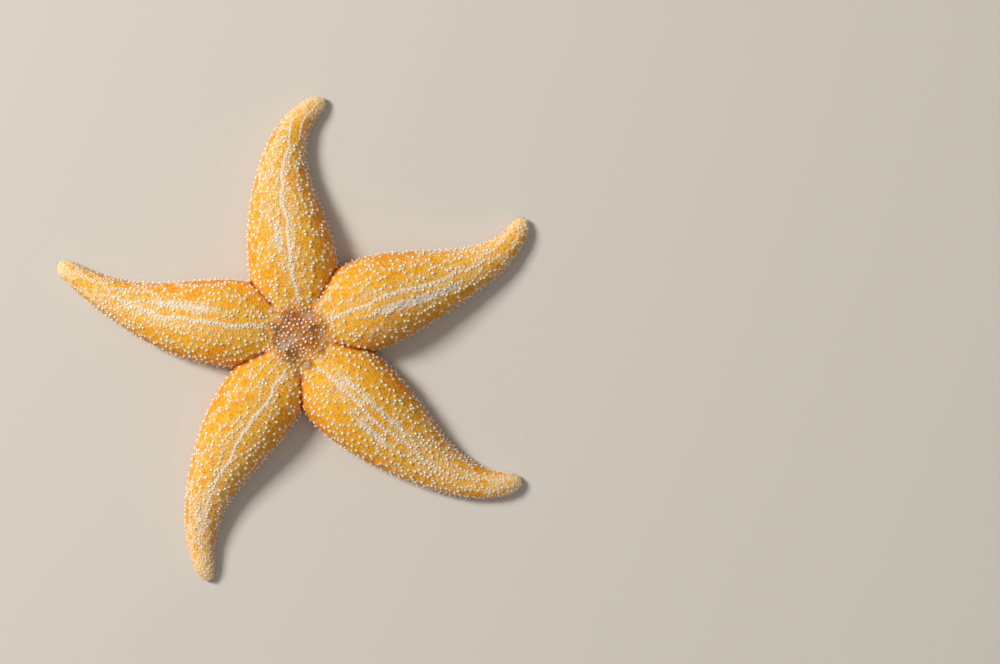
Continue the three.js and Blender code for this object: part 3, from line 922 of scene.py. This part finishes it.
class Tree:
    """A tree of nodes, for a finish or for planting shapes."""

    def __init__(self, group):
        self.group = group

    def node(self, kind, settings=None, values=None, out=0):
        """A new node with its settings and what its sockets are given, and one of its outputs."""
        made = self.group.nodes.new(kind)
        for name, value in (settings or {}).items():
            setattr(made, name, value)
        for name, value in (values or {}).items():
            socket = made.inputs[name] if isinstance(name, int) else next(
                s for s in made.inputs if name in (s.identifier, s.name) and s.enabled
            )
            if isinstance(value, Value):
                self.group.links.new(value.socket, socket)
            else:
                socket.default_value = value
        return Value(self, made.outputs[out]) if len(made.outputs) else made


# ---- Planting: a shape is set on every root and all of it made one mesh ----

PATCH = 0.003  # a planted shape's own share of the flat sheet
PLANTING_INPUTS = [
    ("Roots", "NodeSocketGeometry"), ("Shape", "NodeSocketObject"), ("Width", "NodeSocketFloat"),
    ("Height", "NodeSocketFloat"), ("Spread", "NodeSocketFloat"), ("Lean", "NodeSocketFloat"),
    ("Patch", "NodeSocketFloat"), ("Seed", "NodeSocketInt"), ("Finish", "NodeSocketMaterial"),
]


def planting():
    """The tree that sets Shape on each of Roots, along its facing and at its size."""
    tree = Tree(bpy.data.node_groups.new("planting", "GeometryNodeTree"))
    for name, kind in PLANTING_INPUTS:
        tree.group.interface.new_socket(name, in_out="INPUT", socket_type=kind)
    tree.group.interface.new_socket("Planted", in_out="OUTPUT", socket_type="NodeSocketGeometry")
    given = tree.node("NodeGroupInput")
    vector, number = {"data_type": "FLOAT_VECTOR"}, {"data_type": "FLOAT"}

    def stored(name, settings=vector):
        return tree.node("GeometryNodeInputNamedAttribute", settings, {"Name": name})

    def any_of(low, high, settings=number, out=1, later=0):
        seed = given.other("Seed") + later
        return tree.node("FunctionNodeRandomValue", settings, {"Min": low, "Max": high, "Seed": seed}, out)

    def vectors(operation, values):
        return tree.node("ShaderNodeVectorMath", {"operation": operation}, values)

    lean = any_of((-1, -1, -1), (1, 1, 1), vector, out=0)
    lean = vectors("SCALE", {0: lean, "Scale": given.other("Lean")})
    facing = vectors("ADD", {0: stored("facing"), 1: lean})
    upright = tree.node("FunctionNodeAlignRotationToVector", {"axis": "Z"}, {"Vector": facing})
    spin = tree.node("ShaderNodeCombineXYZ", {}, {2: any_of(0.0, 2 * math.pi, later=1)})
    spin = tree.node("FunctionNodeEulerToRotation", {}, {0: spin})
    turned_so = tree.node(
        "FunctionNodeRotateRotation", {"rotation_space": "LOCAL"}, {"Rotation": upright, "Rotate By": spin}
    )
    size = any_of(1 - given.other("Spread"), 1 + given.other("Spread"), later=2) * stored("size", number)
    wide, high = size * given.other("Width"), size * given.other("Height") * stored("tall", number)
    scale = tree.node("ShaderNodeCombineXYZ", {}, {0: wide, 1: wide, 2: high})
    shape = tree.node("GeometryNodeObjectInfo", {}, {"Object": given.other("Shape")}, out="Geometry")
    planted = tree.node(
        "GeometryNodeInstanceOnPoints", {},
        {"Points": given, "Instance": shape, "Rotation": turned_so, "Scale": scale},
    )
    whole = tree.node("GeometryNodeRealizeInstances", {}, {"Geometry": planted})
    patch = vectors("SCALE", {0: stored("own"), "Scale": given.other("Patch")})
    spot = vectors("ADD", {0: stored("place"), 1: patch})
    whole = tree.node(
        "GeometryNodeStoreNamedAttribute", {"data_type": "FLOAT2", "domain": "CORNER"},
        {"Geometry": whole, "Name": "OFBake", "Value": spot},
    )
    whole = tree.node("GeometryNodeSetShadeSmooth", {}, {"Geometry": whole, "Shade Smooth": True})
    whole = tree.node("GeometryNodeSetMaterial", {}, {"Geometry": whole, "Material": given.other("Finish")})
    tree.node("NodeGroupOutput", {}, {"Planted": whole})
    return tree.group


planting_tree = planting()
planting_sockets = {
    item.name: item.identifier for item in planting_tree.interface.items_tree if item.in_out == "INPUT"
}


def planted(
    name, shape, roots, finish, seed, size=1.0, tall=1.0,
    sunk=0.0, width=1.0, height=1.0, spread=0.12, lean=0.1,
):
    """A piece made of one shape on every root. size and tall may differ from root to root."""
    places, facing = roots
    facts = located(places)
    places = places - facing * sunk
    seeds = bpy.data.meshes.new(name + "_roots")
    seeds.from_pydata((places * MM).tolist(), [], [])
    give_marks(seeds, facts)
    give(seeds, "facing", facing, "FLOAT_VECTOR")
    give(seeds, "size", np.broadcast_to(size, len(places)))
    give(seeds, "tall", np.broadcast_to(tall, len(places)))
    give(seeds, "place", np.pad(flat_places(places, facts), ((0, 0), (0, 1))), "FLOAT_VECTOR")
    bed = shown(name + "_bed", seeds)
    modifier = bed.modifiers.new("planting", "NODES")
    modifier.node_group = planting_tree
    for label, value in (
        ("Shape", shape), ("Width", width), ("Height", height), ("Spread", spread), ("Lean", lean),
        ("Patch", PATCH), ("Seed", seed), ("Finish", finish),
    ):
        modifier[planting_sockets[label]] = value
    graph = bpy.context.evaluated_depsgraph_get()
    grown = bed.evaluated_get(graph)
    mesh = bpy.data.meshes.new_from_object(grown, preserve_all_data_layers=True, depsgraph=graph)
    mesh.name = name
    bpy.data.objects.remove(bed)
    for extra in ("facing", "size", "tall", "place", "own"):
        if extra in mesh.attributes:
            mesh.attributes.remove(mesh.attributes[extra])
    return shown(name, mesh)


def planted_halves(name, shape, roots, finish, seed, size=1.0, tall=1.0, **settings):
    """The same in two pieces, each on half of the roots."""
    sizes = np.broadcast_to(size, len(roots[0]))
    talls = np.broadcast_to(tall, len(roots[0]))
    halves = np.array_split(np.arange(len(roots[0])), 2)
    return [
        planted(name + word, shape, only(roots, half), finish, seed, sizes[half], talls[half], **settings)
        for word, half in zip(("_one", "_two"), halves)
    ]


# ---- Finishes ----

ORANGE = (0.84, 0.27, 0.001, 1)
GOLD = (0.80, 0.39, 0.007, 1)
DEEP = (0.66, 0.15, 0.001, 1)
PALE_GOLD = (0.85, 0.53, 0.055, 1)
CREAM = (0.90, 0.70, 0.40, 1)
CREST_PINK = (0.92, 0.69, 0.50, 1)
GREY_CREAM = (0.80, 0.74, 0.70, 1)
HUB_RUST = (0.30, 0.060, 0.006, 1)
# The disc's dark brown: partly its own colour, partly painted shade of its lower middle.
HUB_SHADE_BROWN = (0.055, 0.014, 0.008, 1)
HUB_GREY = (0.40, 0.29, 0.23, 1)
BLUSH = (0.56, 0.13, 0.003, 1)
# The dark brown deep in the folds between the arms: painted shade of the creases, with some of their own
# darker colour.
FOLD_SHADE_BROWN = (0.16, 0.03, 0.001, 1)
TIP_CREAM = (0.88, 0.71, 0.48, 1)
UNDER_CREAM = (0.80, 0.54, 0.20, 1)
SPINE_WHITE = (0.95, 0.78, 0.67, 1)
GILL_GREY = (0.86, 0.77, 0.68, 1)
FOOT_PALE = (0.86, 0.56, 0.22, 1)
SIEVE_TAN = (0.54, 0.40, 0.24, 1)
SIEVE_DARK = (0.36, 0.21, 0.10, 1)
MOUTH_PALE = (0.76, 0.50, 0.28, 1)
EYE_RED = (0.42, 0.02, 0.004, 1)
PER_MM = 1000.0


class Finish(Tree):
    """A material's nodes."""

    def __init__(self, name):
        self.material = bpy.data.materials.new(name)
        self.material.use_nodes = True
        super().__init__(self.material.node_tree)
        self.group.nodes.clear()
        self.place = self.node("ShaderNodeTexCoord", out="Object")

    def kept(self, name):
        """A number stored with the mesh."""
        return self.node("ShaderNodeAttribute", {"attribute_name": name}, out="Fac")

    def noise(self, feature, detail=2.0, roughness=0.5):
        """Soft noise whose features are about that many millimetres."""
        return self.node(
            "ShaderNodeTexNoise", {},
            {"Vector": self.place, "Scale": PER_MM / feature, "Detail": detail, "Roughness": roughness},
            out="Fac",
        )

    def warped(self, feature, depth):
        """The place, moved about by soft noise."""
        noise = self.node(
            "ShaderNodeTexNoise", {}, {"Vector": self.place, "Scale": PER_MM / feature, "Detail": 3.0},
            out="Color",
        )
        moved = self.node("ShaderNodeVectorMath", {"operation": "SCALE"}, {0: noise, "Scale": depth * MM})
        return self.node("ShaderNodeVectorMath", {"operation": "ADD"}, {0: self.place, 1: moved})

    def cells(self, size, feature="F1", place=None):
        """Irregular cells about that many millimetres across, as a distance from their middles or edges."""
        place = place or self.place
        return self.node(
            "ShaderNodeTexVoronoi", {"feature": feature}, {"Vector": place, "Scale": PER_MM / size},
            out="Distance",
        )

    def window(self, low, high, value):
        """From 0 at low to 1 at high, smoothly."""
        return self.node(
            "ShaderNodeMapRange", {"interpolation_type": "SMOOTHSTEP"},
            {"Value": value, "From Min": low, "From Max": high, "To Min": 0.0, "To Max": 1.0},
        )

    def mixed(self, first, second, share):
        """One colour turning into another."""
        values = {"Factor_Float": share, "A_Color": first, "B_Color": second}
        return self.node("ShaderNodeMix", {"data_type": "RGBA"}, values, out=2)

    def surface(self, colour, bump=None, bump_depth=0.1, roughness=0.5, **settings):
        """The shader, with a bump worked out in millimetres."""
        values = {"Base Color": colour, "Roughness": roughness}
        if bump is not None:
            values["Normal"] = self.node(
                "ShaderNodeBump", {}, {"Height": bump, "Distance": bump_depth * MM, "Strength": 1.0}
            )
        shader = self.node("ShaderNodeBsdfPrincipled", {}, {**values, **settings})
        self.node("ShaderNodeOutputMaterial", {}, {"Surface": shader})
        return self.material


def fleshy(weight=0.2, radius=(1.0, 0.4, 0.1), scale=0.0014):
    """Settings for wet flesh that light shines into: how much, how far each colour goes, and its scale."""
    return {
        "Subsurface Weight": weight, "Subsurface Radius": radius, "Subsurface Scale": scale,
        "Specular IOR Level": 0.16,
    }


def away_from_hub(finish):
    """From little on the disc to all of it out on the arms."""
    return 1 - finish.window(0.35, 0.8, finish.kept("hub")) * 0.8


def body_colour(finish):
    """The markings, the same on the skin and on all that grows out of it."""
    along, across = finish.kept("along"), finish.kept("across")
    broad, middling, small = finish.noise(14), finish.noise(2.6, 3.0, 0.6), finish.noise(1.1, 3.0, 0.6)
    colour = finish.mixed(GOLD, ORANGE, finish.window(0.25, 0.8, across + (broad - 0.5) * 1.2))
    colour = finish.mixed(colour, DEEP, finish.window(0.45, 0.75, middling + across * 0.14) * 0.55)
    colour = finish.mixed(colour, PALE_GOLD, finish.window(0.5, 0.75, small) * 0.2)
    pale = finish.window(0.45, 0.95, finish.kept("pale") + (middling - 0.5) * 1.2 + (small - 0.5) * 1.6)
    colour = finish.mixed(colour, GREY_CREAM, pale * 0.9)
    blush = finish.window(0.2, 0.9, finish.kept("hub") + (middling - 0.5) * 1.4)
    colour = finish.mixed(colour, BLUSH, blush * 0.55)
    colour = finish.mixed(colour, hub_colour(finish), hub_share(finish))
    end = finish.window(0.935, 0.985, along + (middling - 0.5) * 0.05)
    colour = finish.mixed(colour, TIP_CREAM, end * 0.92)
    return finish.mixed(colour, UNDER_CREAM, finish.window(1.05, 1.35, across) * 0.85)


def hub_share(finish):
    """How much of the disc's colour shows, with its brown that is partly painted shade."""
    ragged = (finish.noise(4.0, 4.0, 0.7) - 0.5) * 3.2
    return finish.window(0.35, 1.2, finish.kept("hub") * 0.95 + finish.kept("dark") * 0.55 + ragged) * 0.95


def hub_colour(finish):
    """Rust, with dark brown spots that are partly painted shade, and spots that are grey."""
    patchy = (finish.noise(2.6, 4.0, 0.7) - 0.5) * 2.6
    grain = (finish.noise(0.8, 3.0, 0.7) - 0.5) * 2.0
    dark, grey = finish.kept("dark"), finish.kept("grey")
    # Partly painted shade: dark brown in the disc's dark spots and in random patches.
    colour = finish.mixed(HUB_RUST, HUB_SHADE_BROWN, finish.window(0.25, 0.95, dark * 0.8 + patchy))
    colour = finish.mixed(colour, DEEP, finish.window(0.3, 0.8, grain - dark * 0.4) * 0.5)
    return finish.mixed(colour, HUB_GREY, finish.window(0.3, 1.0, grey * 1.1 - patchy * 0.4 + grain * 0.6))


def skin_finish():
    """The body's markings with what only the skin has: a pale net, chains from spine to spine, blobs under
    the spines, the crest, fine streaks across the back, and the folds, darkened partly for their own colour
    and partly with painted shade."""
    finish = Finish("skin_finish")
    colour = body_colour(finish)
    mound, bar, ribs, across = (finish.kept(name) for name in ("mound", "bar", "ribs", "across"))
    dull = 1 - finish.window(0.35, 0.9, finish.kept("hub")) * 0.85
    speckle, pore = finish.noise(0.6, 3.0, 0.65), finish.cells(0.42)
    window_edge = finish.cells(1.8, "DISTANCE_TO_EDGE", finish.warped(1.6, 1.4))
    window_edge = window_edge + (finish.noise(1.2) - 0.5) * 0.2
    bright = dull * (1 - finish.kept("pale") * 0.8)
    colour = finish.mixed(colour, ORANGE, finish.window(0.08, 0.3, window_edge) * 0.7 * bright)
    net = 1 - finish.window(0.0, 0.2, window_edge)
    calm = 1 - finish.window(0.55, 1.0, across) * 0.6
    colour = finish.mixed(colour, PALE_GOLD, net * calm * dull * 0.55)
    chain = finish.window(0.3, 0.9, bar * 0.85 + (speckle - 0.5) * 0.7)
    colour = finish.mixed(colour, PALE_GOLD, chain * calm * dull * 0.55)
    outer = finish.window(0.35, 0.7, finish.kept("along")) * 0.35
    colour = finish.mixed(colour, CREST_PINK, chain * outer)
    blob = finish.window(0.1, 0.8, mound + (speckle - 0.5) * 0.4)
    colour = finish.mixed(colour, CREST_PINK, blob * (dull * 0.6 + 0.02))
    crest = finish.window(0.15, 0.7, finish.kept("crest") + (finish.noise(2.5, 3.0, 0.6) - 0.5) * 0.9)
    colour = finish.mixed(colour, CREST_PINK, crest * 0.92)
    stripe = finish.node(
        "ShaderNodeMath", {"operation": "COSINE"},
        {0: finish.kept("way_out") * (2 * math.pi / RIB_STEP) + finish.noise(4.0) * 9.0},
    )
    streak = finish.window(-0.2, 1.2, stripe + (speckle - 0.5) * 2.0)
    streak = streak * finish.window(0.36, 0.56, finish.noise(5.0))
    colour = finish.mixed(colour, CREAM, streak * ribs * 0.5)
    colour = finish.mixed(colour, GREY_CREAM, streak * finish.kept("pale") * 0.5)
    # Painted shade in the folds between the arms: deep orange, then dark brown towards their deepest line,
    # for the shade in the creases as well as their own darker colour.
    fold = finish.kept("fold") + (finish.noise(1.6, 3.0, 0.6) - 0.5) * 0.6
    colour = finish.mixed(colour, DEEP, finish.window(0.2, 0.8, fold) * 0.5)
    colour = finish.mixed(colour, FOLD_SHADE_BROWN, finish.window(0.72, 1.05, fold) * 0.95)
    bump = speckle * 0.6 + pore * 0.4 + net * 0.7
    return finish.surface(colour, bump, 0.15, finish.window(0.2, 0.8, speckle) * 0.2 + 0.42, **fleshy())


def spine_finish():
    """A chalky white spine, with a fleshy cushion round its root."""
    finish = Finish("spine_finish")
    tip, speckle = finish.kept("tip"), finish.noise(0.4)
    cushion = finish.mixed(body_colour(finish), CREST_PINK, away_from_hub(finish) * 0.6)
    far_end = finish.window(0.96, 0.99, finish.kept("along"))
    head = finish.mixed(SPINE_WHITE, TIP_CREAM, far_end * 0.7)
    colour = finish.mixed(cushion, head, finish.window(0.1, 0.5, tip))
    return finish.surface(colour, speckle, 0.08, 0.5, **fleshy(0.8, (1, 0.75, 0.6), 0.0013))


def eye_finish():
    """The small red light-sensing spot at an arm's tip."""
    finish = Finish("eye_finish")
    colour = finish.mixed(EYE_RED, DEEP, finish.window(0.4, 0.7, finish.noise(0.5)) * 0.5)
    return finish.surface(colour, finish.noise(0.2), 0.03, 0.3, **fleshy())


def gill_finish():
    """A soft gill, thin enough for light to shine through."""
    finish = Finish("gill_finish")
    tip = finish.kept("tip")
    fresh = 0.3 + finish.kept("pale") * 0.55 + finish.kept("grey") * 0.3
    colour = finish.mixed(body_colour(finish), GILL_GREY, finish.window(-0.2, 0.6, tip) * fresh)
    return finish.surface(colour, finish.noise(0.3), 0.03, 0.4, **fleshy(0.9, (1, 0.6, 0.3), 0.0012))


def pincer_finish():
    """The small pincers that stand in a wreath round each spine."""
    finish = Finish("pincer_finish")
    plain = away_from_hub(finish)
    pink = (finish.window(0.3, 0.7, finish.noise(1.0)) * 0.35 + 0.3) * plain
    colour = finish.mixed(body_colour(finish), CREST_PINK, pink)
    return finish.surface(colour, finish.noise(0.2), 0.03, 0.45, **fleshy(0.9, (1, 0.7, 0.4), 0.0010))


def foot_finish():
    """A tube foot with a paler sucker at its end."""
    finish = Finish("foot_finish")
    tip = finish.kept("tip")
    colour = finish.mixed(FOOT_PALE, CREAM, finish.window(0.6, 1.0, tip))
    colour = finish.mixed(colour, ORANGE, finish.window(0.5, 0.8, finish.noise(2.0)) * 0.3)
    return finish.surface(colour, finish.noise(0.5), 0.05, 0.35, **fleshy(0.4))


def sieve_finish():
    """The sieve plate's tan ridges and darker grooves."""
    finish = Finish("sieve_finish")
    ridge = finish.kept("ridge") + (finish.noise(0.7) - 0.5) * 0.5
    colour = finish.mixed(SIEVE_DARK, SIEVE_TAN, finish.window(0.2, 0.8, ridge))
    chalky = {"Subsurface Weight": 0.05, "Subsurface Scale": 0.001}
    return finish.surface(colour, finish.noise(0.2), 0.04, 0.6, **chalky)


def mouth_finish():
    """The soft skin round the mouth, redder in its wrinkles."""
    finish = Finish("mouth_finish")
    wrinkle = finish.kept("ridge") + (finish.noise(1.5) - 0.5) * 0.6
    colour = finish.mixed(MOUTH_PALE, DEEP, finish.window(0.6, 0.1, wrinkle) * 0.4)
    return finish.surface(colour, finish.noise(0.5), 0.06, 0.35, **fleshy())


skin.data.materials.append(skin_finish())
spines, gills, soft_feet = spine_finish(), gill_finish(), foot_finish()

# ---- The pieces over the skin ----

PEG = [(0.70, -0.30), (0.66, -0.04), (0.54, 0.09), (0.47, 0.24), (0.37, 0.38), (0.19, 0.48), (0, 0.51)]
peg = turned("peg", PEG, 7, lumps=(0, 0.08, 0.06))
cone = turned("cone", [(0.46, -0.3), (0.42, 0.05), (0.33, 0.2), (0.28, 0.6), (0.18, 0.92), (0, 1.02)], 7)
finger = turned("finger", [(0.20, -0.12), (0.22, 0.08), (0.17, 0.22), (0, 0.30)], 5)
grain = turned("grain", [(0.17, -0.1), (0.18, 0.06), (0, 0.19)], 4)
blunt = turned("blunt", [(0.30, -0.2), (0.30, 0.2), (0.33, 0.6), (0.24, 0.8), (0, 0.86)], 6)
foot = turned("foot", [(0.46, -0.08), (0.40, 0.2), (0.34, 0.82), (0.52, 0.93), (0.50, 1.0), (0, 0.97)], 7)

# Sizes of the spines: full over the body, less towards the tips from the first share to the second.
BACK_SIZE, BACK_LOSS, BACK_LESSENS = 0.94, 0.30, (0.68, 0.95)
EDGE_SIZE, EDGE_LOSS, EDGE_LESSENS = 1.0, 0.4, (0.72, 1.0)
CREST_WITHIN, CREST_TALL = 0.3, 0.75
LEAST_DISC_SIZE, DISC_SIZE_MORE, DISC_SIZE_POWER = 0.5, 0.62, 1.1
on_crest = network(back_roots[0], crest_roots[0])[0] < CREST_WITHIN
back_size = BACK_SIZE - BACK_LOSS * eased(*BACK_LESSENS, located(back_roots[0])["share"])
edge_size = EDGE_SIZE - EDGE_LOSS * eased(*EDGE_LESSENS, located(edge_roots[0])["share"])
disc_size = LEAST_DISC_SIZE + DISC_SIZE_MORE * chance.random(len(disc_roots[0])) ** DISC_SIZE_POWER
made = []  # every piece with its slot


def keep(slot, *pieces):
    """Keeps pieces with the slot they belong to."""
    made.extend((piece, slot) for piece in pieces)


def tube_feet():
    """The feet of all the arms."""
    feet = [each for arm in arms for each in feet_of(arm)]
    places, talls, girths = (np.array(values) for values in zip(*feet))
    roots = (places, np.broadcast_to(DOWN, places.shape))
    return planted("tube_feet", foot, roots, soft_feet, 37, girths, talls / girths, spread=0.02, lean=0.05)


keep("disc_skin", planted("disc_spines", peg, disc_roots, spines, 3, disc_size, sunk=-0.06, spread=0.1))
keep(
    "arm_skin",
    planted("edge_spines", cone, edge_roots, spines, 7, edge_size, sunk=-0.08, spread=0.15, lean=0.25),
    planted("side_spines", cone, side_roots, spines, 9, 0.85, spread=0.15, lean=0.15),
    planted("under_spines", blunt, under_roots, spines, 19, 0.95, spread=0.05, lean=0.1),
    planted("groove_spines", blunt, groove_roots, spines, 23, 0.95, width=0.75, spread=0.05, lean=0.08),
)
keep("disc_skin", planted("jaw_spines", blunt, jaw_roots, spines, 29, height=2.4, spread=0.05, lean=0.05))
keep("tip_skin", planted("eye_spots", grain, eye_roots, eye_finish(), 31, 1.5, spread=0.05))
for name, mine, tall in (("crest_spines", on_crest, CREST_TALL), ("back_spines", ~on_crest, 1.0)):
    roots, size = only(back_roots, mine), back_size[mine]
    keep("arm_skin", *planted_halves(name, peg, roots, spines, 5, size, tall, sunk=-0.06, spread=0.22))
keep("arm_skin", tube_feet())

# ---- The soft gills between the spines ----


def scattered(count, wanted):
    """Places spread at random over the skin, more where its points are wanted more."""
    corners = points[faces]
    across = np.cross(corners[:, 2] - corners[:, 0], corners[:, 3] - corners[:, 1])
    worth = np.linalg.norm(across, axis=1) * wanted[faces].mean(1)
    pick = chance.choice(len(faces), count, p=worth / worth.sum())
    u, v = chance.random((2, count, 1))
    quad = corners[pick]
    near = quad[:, 0] * (1 - u) + quad[:, 1] * u
    far = quad[:, 3] * (1 - u) + quad[:, 2] * u
    return near * (1 - v) + far * v, normals[faces[pick]].mean(1)


GILLS = 6500
NEAR_DISC = 20
normals = outward(points, faces)
open_skin = upper * (1 - mound) * (1 - 0.6 * bar) * (1 - 0.7 * facts["fold"])
wanted = 0.12 + paleness(facts) + 0.1 * (facts["radius"] < NEAR_DISC) + 0.9 * facts["grey"]
gill_roots = scattered(GILLS, open_skin * wanted)
keep("arm_skin", *planted_halves("gills", finger, gill_roots, gills, 13, spread=0.3, lean=0.35))


WREATH_RADIUS, WREATH_SHAKE, WREATH_SUNK, WREATH_LEAN = 0.76, (0.9, 1.2), 0.06, 0.4
LEAST_RINGED = 0.8  # smaller spines on the back have no wreath


def wreaths(roots, sizes):
    """Places in a ring round each root, leaning away from it."""
    places, ways = [], []
    for place, facing, size in zip(*roots, sizes):
        first = np.cross(facing, (0.3, 0.9, 0.2))
        first /= np.linalg.norm(first)
        second = np.cross(facing, first)
        count = chance.integers(6, 9)
        for turn in chance.uniform(0, ANY_TURN) + np.arange(count) * 2 * math.pi / count:
            ring = first * math.cos(turn) + second * math.sin(turn)
            radius = WREATH_RADIUS * size * chance.uniform(*WREATH_SHAKE)
            places.append(place + ring * radius - facing * WREATH_SUNK)
            ways.append(facing + ring * WREATH_LEAN)
    return np.array(places), np.array(ways)


ringed = back_size > LEAST_RINGED
ringed_roots = tuple(np.vstack(pair) for pair in zip(disc_roots, only(back_roots, ringed)))
wreath_roots = wreaths(ringed_roots, np.concatenate([disc_size, back_size[ringed]]))
keep("arm_skin", *planted_halves("pincers", grain, wreath_roots, pincer_finish(), 17, spread=0.3, lean=0.2))
for shape in (peg, cone, finger, grain, blunt, foot):
    bpy.data.objects.remove(shape)

# ---- The sieve plate and the mouth ----


def round_piece(rings, steps):
    """The corners, ridges and faces of a round piece. rings gives for each ring its radii, heights and
    ridges, from the middle of the top, over the rim and in again below."""
    turn = round_turns(steps)
    corners, ridges = [], []
    for radius, up, ridge in rings:
        x, y, z, high = np.broadcast_arrays(radius * np.cos(turn), radius * np.sin(turn), up, ridge)
        corners.append(np.stack([x, y, z], 1))
        ridges.append(high)
    faces = []
    for ring in range(len(corners) - 1):
        a, b = ring * steps, (ring + 1) * steps
        faces += [(a + k, b + k, b + (k + 1) % steps, a + (k + 1) % steps) for k in range(steps)]
    return np.vstack(corners), np.concatenate(ridges), faces


def finished_piece(name, corners, ridges, faces, finish):
    """A round piece as an object, with its marks, its own patch of the flat sheet and its finish."""
    mesh = mesh_of(name, corners, faces)
    give_marks(mesh, located(corners))
    give(mesh, "ridge", ridges)
    middle = corners.mean(0)
    spot = flat_places(middle[None], located(middle[None]))[0]
    reach = np.abs(corners - middle).max()
    loops = np.array([v for face in faces for v in face])
    mesh.uv_layers.new(name="OFBake").data.foreach_set(
        "uv", (spot + (corners[loops][:, :2] - middle[:2]) / reach * PATCH / 2).astype(np.float32).ravel()
    )
    mesh.materials.append(finish)
    return shown(name, mesh)


def sieve_plate():
    """A low round button with fine grooves that wind from its middle to its rim."""
    steps = 96
    turn = round_turns(steps)
    rings = []
    for share in np.linspace(0.06, 1, 16):
        wind = 15 * turn + 2.4 * np.sin(4.5 * share + 2 * turn) + 1.2 * np.sin(9 * share - 3 * turn)
        ridge = (0.5 + 0.5 * np.cos(wind)) * min(1, share * 2.5)
        rings.append((SIEVE_RADIUS * share, 0.5 * (1 - share**3) + 0.07 * ridge * (1 - share**6), ridge))
    rings += [(SIEVE_RADIUS * 0.98, -0.6, 0), (SIEVE_RADIUS * 0.9, -1.6, 0)]
    corners, ridges, faces = round_piece(rings, steps)
    faces += [tuple(range(steps))[::-1], tuple(range(len(corners) - steps, len(corners)))]
    faces = [face[::-1] for face in faces]
    tilt = math.radians(SIEVE_TILT)
    x, y, z = corners.T
    x, z = x * math.cos(tilt) - z * math.sin(tilt), x * math.sin(tilt) + z * math.cos(tilt)
    corners = np.stack([x, y, z], 1)
    return finished_piece("sieve_plate", corners + SIEVE_AT, ridges, faces, sieve_finish())


# Radii and heights of the mouth's skin, from its opening out below and back above.
MOUTH_PROFILE = [
    (1.6, 3.15), (1.75, 2.85), (2.2, 2.6), (3.0, 2.4), (3.9, 2.25), (4.8, 2.2), (5.7, 2.2),
    (5.7, 3.1), (4.6, 3.15), (3.4, 3.25), (2.4, 3.4), (1.85, 3.4),
]


def mouth_membrane():
    """The soft skin round the mouth, in wrinkles that run to its opening."""
    steps = 90
    turn = round_turns(steps)
    wrinkle = np.cos(15 * turn + 0.7 * np.sin(3 * turn)) + 0.4 * np.cos(30 * turn + 1)
    rings = []
    for radius, up in MOUTH_PROFILE:
        near = max(0, 1 - (radius - MOUTH_PROFILE[0][0]) / 3.6)
        rings.append((radius + 0.16 * wrinkle * near, up + 0.12 * wrinkle * near, 0.5 + 0.35 * wrinkle))
    corners, ridges, faces = round_piece(rings, steps)
    last = (len(MOUTH_PROFILE) - 1) * steps
    faces += [(last + k, k, (k + 1) % steps, last + (k + 1) % steps) for k in range(steps)]
    corners[:, :2] += DISC_MIDDLE
    return finished_piece("mouth_membrane", corners, ridges, faces, mouth_finish())


plate, membrane = sieve_plate(), mouth_membrane()
keep("sieve_plate", plate)
keep("mouth_membrane", membrane)
keep("arm_skin", skin)
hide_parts("madreporite")
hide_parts("mouth")
for piece, slot in made:
    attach(piece, "root")
arm_nodes = [f"arm_{letter}_{part}" for letter in ARM_LETTERS for part in ("base", "middle", "tip")]
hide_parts("disc", *arm_nodes)

# ---- The floor, the camera and the lights ----

scene = bpy.context.scene
# From here on lengths are in metres, except the camera's own.
FLOOR_COLOUR = (0.60, 0.57, 0.53, 1)
FLOOR_CORNERS = [(-2, -2, 0), (2, -2, 0), (2, 2, 0), (-2, 2, 0)]
floor_mesh = bpy.data.meshes.new("floor")
floor_mesh.from_pydata(FLOOR_CORNERS, [], [(0, 1, 2, 3)])
floor = shown("floor", floor_mesh)
floor.data.materials.append(Finish("floor_finish").surface(FLOOR_COLOUR, roughness=0.8))

CAMERA_AT = (0.08686, 0.00277, 1.5)  # it looks straight down
SEEN_WIDTH = 0.42  # of the floor
SENSOR_WIDTH = 36
camera = bpy.data.objects.new("camera", bpy.data.cameras.new("camera"))
camera.data.sensor_width = SENSOR_WIDTH
camera.data.lens = SENSOR_WIDTH * CAMERA_AT[2] / SEEN_WIDTH
camera.location = CAMERA_AT
scene.collection.objects.link(camera)
scene.camera = camera


def area_light(name, towards, distance, size, power, colour):
    """A square soft light, seen from the middle of the animal in the direction towards."""
    light = bpy.data.lights.new(name, "AREA")
    light.size, light.energy, light.color = size, power, colour
    lamp = bpy.data.objects.new(name, light)
    way = Vector(towards).normalized()
    lamp.location = way * distance
    lamp.rotation_mode = "QUATERNION"
    lamp.rotation_quaternion = way.to_track_quat("Z", "Y")
    scene.collection.objects.link(lamp)


area_light("key", towards=(-0.885, 0.465, 0.85), distance=2.6, size=0.75, power=78, colour=(1, 0.965, 0.9))
area_light("overhead", towards=(0.25, -0.2, 1), distance=1.6, size=1.2, power=2, colour=(1, 0.96, 0.9))
world = bpy.data.worlds.new("studio")
scene.world = world
world.use_nodes = True
background = world.node_tree.nodes["Background"]
background.inputs["Color"].default_value = (1, 0.95, 0.88, 1)
background.inputs["Strength"].default_value = 0.26
scene.view_settings.view_transform = "Standard"
